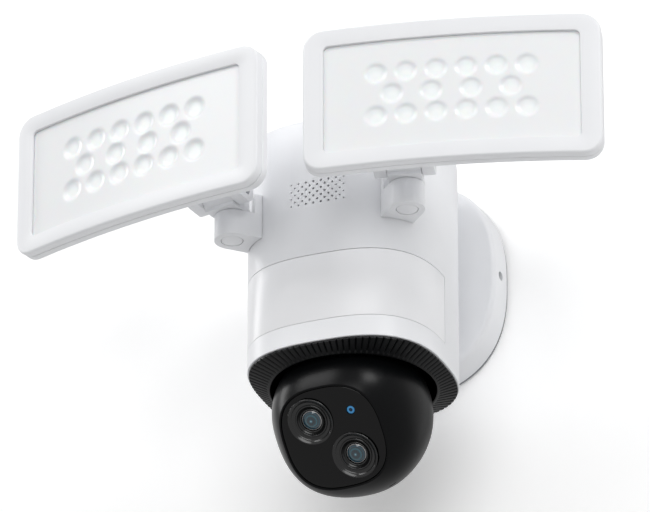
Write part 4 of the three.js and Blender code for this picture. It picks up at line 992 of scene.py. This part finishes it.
def make_light_domes(lamp):
    """Clear silicone domes on the light board."""
    low, high = LAMP["depth"] - LED["seat"], LED["height"]
    domes = []
    for x, z in lamp.domes():
        seat = -LAMP["ahead"] + low + sag(x - lamp.middle[0])
        profile = [(0, seat - high)]
        profile += [(LED["radius"] * sin(turn), seat - high * cos(turn))
                    for turn in (0.3, 0.6, 0.9, 1.2, 1.5)]
        profile.append((0, seat))
        domes.append(turned("dome", profile, (x, z), 32))
    piece = merged("domes", domes)
    finish(piece, f"{lamp.word}_light_domes", lamp.on, clear_silicone, "white_board")


def lug_outline(reach):
    """A hinge lug from the side: round at the pin and rising to the lamp's back."""
    radius = HINGE["radius"]
    outline = arc(radius, 90, -72, 24)
    return outline + [(-8, -radius + 1.2), (reach, 2), (reach, 22), (-12, 12)]


def make_tray(lamp):
    """The hollow back of a lamp. Its flat faces have rings of points, so that they can bow."""
    depth, wall, rounding = LAMP["depth"], LAMP["wall"], LAMP["back_round"]
    seam, edge, inner = LAMP["frame"] + FIT, LAMP["seam_edge"], depth - rounding
    # Each ring's size. None is near the pod's outline, where slivers would catch the light.
    scales = [0.06, 0.2, 0.34, 0.46, 0.6, 0.76, 0.9]
    rings = [lamp.outer(wall, inner, scale) for scale in scales]
    rings += [lamp.outer(wall, inner), lamp.outer(wall, seam)]
    rings += [lamp.outer(edge, seam), lamp.outer(0, seam + edge)]
    rings += [lamp.outer(rounding * aside, depth - rounding * (1 - up))
              for aside, up in quarter_turn(7)]
    rings += [lamp.outer(rounding, depth, scale) for scale in reversed(scales)]
    return lamp.bowed(skin("tray", rings))


def make_pod(lamp, middle):
    """The raised box on a lamp's back, above the hinge."""
    rounding = POD["edge_round"]
    stations = [(0, middle - 0.9)]
    stations += [(rounding * aside, middle + POD["depth"] - rounding * (1 - up))
                 for aside, up in quarter_turn(6)]
    rings = []
    for inset, y in stations:
        width, height = POD["width"] - 2 * inset, POD["height"] - 2 * inset
        outline = rounded_rectangle(width, height, POD["corner"] - inset, lamp.middle)
        rings.append(facing(outline, y))
    return skin("pod", rings)


def make_lamp_back(lamp):
    """The tray, the pod, two lugs that close on the neck, and a bridge between them."""
    edge = 0.7
    middle = -LAMP["ahead"] + LAMP["depth"]
    tray, pod = make_tray(lamp), make_pod(lamp, middle)
    reach = middle + POD["depth"] - 4
    inside = HINGE["half"] + FIT
    outside = inside + HINGE["lug"]
    lugs = []
    for end in (-1, 1):
        low, high = sorted((end * inside, end * outside))
        lugs.append(soften(prism("lug", lug_outline(reach), "x", low, high), edge, angle=25))
    front = -LAMP["ahead"] + sag(LAMP["outward"] + outside) + LAMP["depth"] - 1.2
    bridge = block((-outside + 0.2, front, 2.2), (outside - 0.2, reach + 1, 21.8))
    join(tray, pod, soften(bridge, edge), *lugs)
    cut(tray, rod("x", HINGE["pin"] + FIT, -outside - PAST, outside + PAST))
    finish(tray, f"{lamp.word}_rear_tray", lamp.on, white_asa, "white_plastic",
           f"lamp_back_{lamp.word}", angle=28)


def make_hinge_pin(lamp):
    """The pin, with a screwdriver's slot in each end."""
    reach = HINGE["half"] + FIT + HINGE["lug"] - 0.6
    thin, long, depth = PIN_SLOT["half_width"], PIN_SLOT["half_length"], PIN_SLOT["depth"]
    pin = rod("x", HINGE["pin"], -reach, reach)
    cut(
        pin,
        block((-reach - PAST, -thin, -long), (-reach + depth, thin, long)),
        block((reach - depth, -thin, -long), (reach + PAST, thin, long)),
    )
    soften(pin, 0.2)
    finish(pin, f"{lamp.word}_hinge_screw", lamp.on, plain_steel, "steel", f"hinge_pin_{lamp.word}")


def make_neck(lamp):
    """The swivelling neck: a round foot, and the knuckle that the lamp's lugs close on."""
    down = ARM["top"] + FIT - HINGE["height"]
    ahead = -HINGE["forward"]
    half = HINGE["half"]
    radius, hole = ARM["radius"], HINGE["pin"] + FIT
    neck = rod("z", radius, down, down + 3, count=BALL_ROUND)
    web = block((-half, ahead, down + 1), (half, 3, 4))
    within = join(
        rod("z", radius, down - 12, 10, count=BALL_ROUND),
        block((-20, ahead - 10, down - 1), (20, 0, 10)),
    )
    combine(web, [within], "INTERSECT")
    knuckle = rod("x", HINGE["radius"], -half, half, (ahead, 0))
    chin = block((-half, ahead - 3, down), (half, 0, 0))
    stub = rod("z", ARM["bore"] - FIT, ARM["ledge"] - HINGE["height"] + FIT, down + 1)
    join(neck, web, knuckle, chin)
    soften(neck, 0.45, angle=40)
    join(neck, stub)
    cut(neck, rod("x", hole, -20, 20, (ahead, 0)))
    name = f"{lamp.word}_neck"
    finish(neck, name, (neck_frame(lamp.word), name), white_asa, "white_plastic",
           f"swivel_neck_{lamp.word}", angle=30)


def make_arm(lamp):
    """The short diagonal arm on the housing's front corner, with a round cap under its end."""
    pivot = joint_place(f"{lamp.word}_swivel") - housing_at
    centre = (pivot.x, pivot.y)
    radius, bottom, top, high = ARM["radius"], ARM["bottom"], ARM["top"], ARM["collar"]
    turn = Matrix.Rotation(radians(-45 if lamp.side > 0 else -135), 4, "Z")
    diagonal = Matrix.Translation((pivot.x, pivot.y, 0)) @ turn
    bar = block((-ARM["reach"], -radius, bottom), (0, radius, top))
    collar = block((-ARM["reach"], -radius, top - 1), (-ARM["collar_from"], radius, high))
    for piece in (bar, collar):
        piece.data.transform(diagonal)
    cut(collar, rod("z", radius + ARM["neck_gap"], top, high + PAST, centre, count=BALL_ROUND))
    arm = rod("z", radius, bottom, top, centre, count=BALL_ROUND)
    join(arm, bar, collar)
    cut(arm, prism("body", housing_outline(-FIT), "z", bottom - 5, high + 5))
    soften(arm, 0.5, angle=40)
    cut(
        arm,
        rod("z", ARM["bore"], ARM["ledge"] - PAST, top + PAST, centre),
        rod("z", ARM["cap"] + FIT, bottom - PAST, ARM["ledge"], centre),
    )
    finish(arm, f"{lamp.word}_arm", DEVICE, white_asa, "white_plastic",
           f"lamp_arm_{lamp.word}", angle=30)
    cap = rod("z", ARM["cap"], bottom, bottom + ARM["cap_height"], centre, count=BALL_ROUND)
    soften(cap, 0.35)
    finish(cap, f"{lamp.word}_arm_plug", DEVICE, white_asa, "white_plastic", f"arm_cap_{lamp.word}")


# ---- CAD nodes that stay

KEPT = (
    (plain_steel, ("base_screw_left", "base_screw_right", "mount_screw_upper",
                   "mount_screw_lower", "pan_motor", "tilt_motor", "axle_pin_left",
                   "axle_pin_right", "microphone", "pivot_screw_left", "pivot_screw_right")),
    (zinc_plate, ("wall_bracket",)),
    (cut_brass, ("pan_pinion", "tilt_pinion")),
    (acetal, ("pan_bearing", "pan_gear", "tilt_gear")),
    (black_epdm, ("cable_gland",)),
    (black_abs, ("well_frame", "wide_lens_barrel", "tele_lens_barrel")),
    (inner_abs, ("speaker", "yoke")),
    (green_board, ("motion_sensor_board", "main_board", "power_board", "camera_board")),
    (white_board, ("wifi_antenna", "led_board_left", "led_board_right")),
)


def dress_kept_nodes():
    for material, names in KEPT:
        for name in names:
            materials = frame["nodes"][name].data.materials
            materials.clear()
            materials.append(material)


# ---- stage, light and camera

def pale_paint():
    """Matt paint, very slightly mottled, clear from behind and with a little light of its own."""
    material, tree, shader, place = started("pale_wall", Roughness=0.9)
    mottle = add(tree, "ShaderNodeTexNoise", inputs={"Vector": place, "Scale": 2.0})
    colour = add(tree, "ShaderNodeMix", {"data_type": "RGBA"}, {
        SHARE: mottle.outputs["Fac"], FROM: linear("#FCFCFC"), TO: linear("#FFFFFF")})
    tree.links.new(colour.outputs[MIXED], shader.inputs["Base Color"])
    shader.inputs["Emission Color"].default_value = linear("#FFFFFF")
    shader.inputs["Emission Strength"].default_value = 0.18
    side = add(tree, "ShaderNodeNewGeometry")
    clear = add(tree, "ShaderNodeBsdfTransparent")
    mix = add(tree, "ShaderNodeMixShader", inputs={
        0: side.outputs["Backfacing"], 1: shader.outputs["BSDF"], 2: clear.outputs["BSDF"]})
    tree.links.new(mix.outputs["Shader"], tree.nodes["Material Output"].inputs["Surface"])
    return material


def make_wall():
    """A pale wall that is seen from the front only, and that casts no shadow of its own."""
    half, behind = 3, 0.0008
    points = [(-half, -half, 0), (half, -half, 0), (half, half, 0), (-half, half, 0)]
    wall = raw_object("wall", points, [(0, 1, 2, 3)])
    wall.data.materials.append(pale_paint())
    wall.location = (0, behind, 0)
    wall.rotation_euler = (radians(90), 0, 0)
    wall.visible_shadow = False
    wall.visible_glossy = False


def area_light(name, power, size, place):
    """A rectangular white light, in watts and metres, turned towards the object's middle."""
    middle = Vector((0, -0.08, 0))
    data = bpy.data.lights.new(name, "AREA")
    data.energy = power
    data.shape = "RECTANGLE"
    data.size, data.size_y = size
    made = bpy.data.objects.new(name, data)
    made.location = place
    made.rotation_euler = (middle - Vector(place)).to_track_quat("-Z", "Y").to_euler()
    bpy.context.scene.collection.objects.link(made)


def make_lights():
    """Soft light from above on both sides and ahead, a strip on the left, and a little behind."""
    area_light("key_above_left", 12, (1.1, 0.9), (-1.1, -1.5, 1.4))
    area_light("front_fill", 17, (2.0, 1.2), (0.6, -2.6, 0.35))
    area_light("right_key", 16, (0.9, 0.7), (1.5, -1.35, 1.35))
    area_light("left_strip", 9, (0.5, 1.2), (-1.9, -0.12, 0.75))
    area_light("rear_left", 2.4, (1.2, 1.2), (-1.3, 1.2, 0.9))
    area_light("rear_right", 1.8, (1.2, 1.2), (1.3, 1.1, 0.5))
    world = bpy.data.worlds.new("studio")
    bpy.context.scene.world = world
    world.use_nodes = True
    background = world.node_tree.nodes["Background"]
    background.inputs["Color"].default_value = linear("#FFFFFF")
    background.inputs["Strength"].default_value = 0.43
    bpy.context.scene.view_settings.view_transform = "Standard"


def make_camera():
    """From below and a little to the right, looking up at the head."""
    azimuth, rise = radians(21.409), radians(27.154)
    right = Vector((cos(azimuth), sin(azimuth), 0))
    level = cos(rise)
    back = Vector((sin(azimuth) * level, -cos(azimuth) * level, -sin(rise)))
    up = back.cross(right)
    distance, aside, lift = 3825.4, -15.11, 66.7      # in millimetres, from the housing's bottom
    place = (housing_at + right * aside + up * lift + back * distance) * MM
    data = bpy.data.cameras.new("camera")
    data.sensor_width = 36
    data.lens = 399.76
    data.clip_start, data.clip_end = 0.1, 50
    camera = bpy.data.objects.new("camera", data)
    turn = Matrix((right, up, back)).transposed().to_4x4()
    camera.matrix_world = Matrix.Translation(place) @ turn
    bpy.context.scene.collection.objects.link(camera)
    bpy.context.scene.camera = camera


# ---- assembly

make_camera()
make_lights()
make_wall()
make_housing()
make_motion_window()
make_trim_ring()
make_wall_base()
make_base_seal()
make_head()
make_face()
for lens_word, lens_place in LENSES.items():
    make_lens(lens_word, lens_place)
make_status_light()
for lamp_word in ("left", "right"):
    one_lamp = Lamp(lamp_word)
    for make in (make_lamp_frame, make_diffuser, make_light_domes, make_lamp_back,
                 make_hinge_pin, make_neck, make_arm):
        make(one_lamp)
dress_kept_nodes()
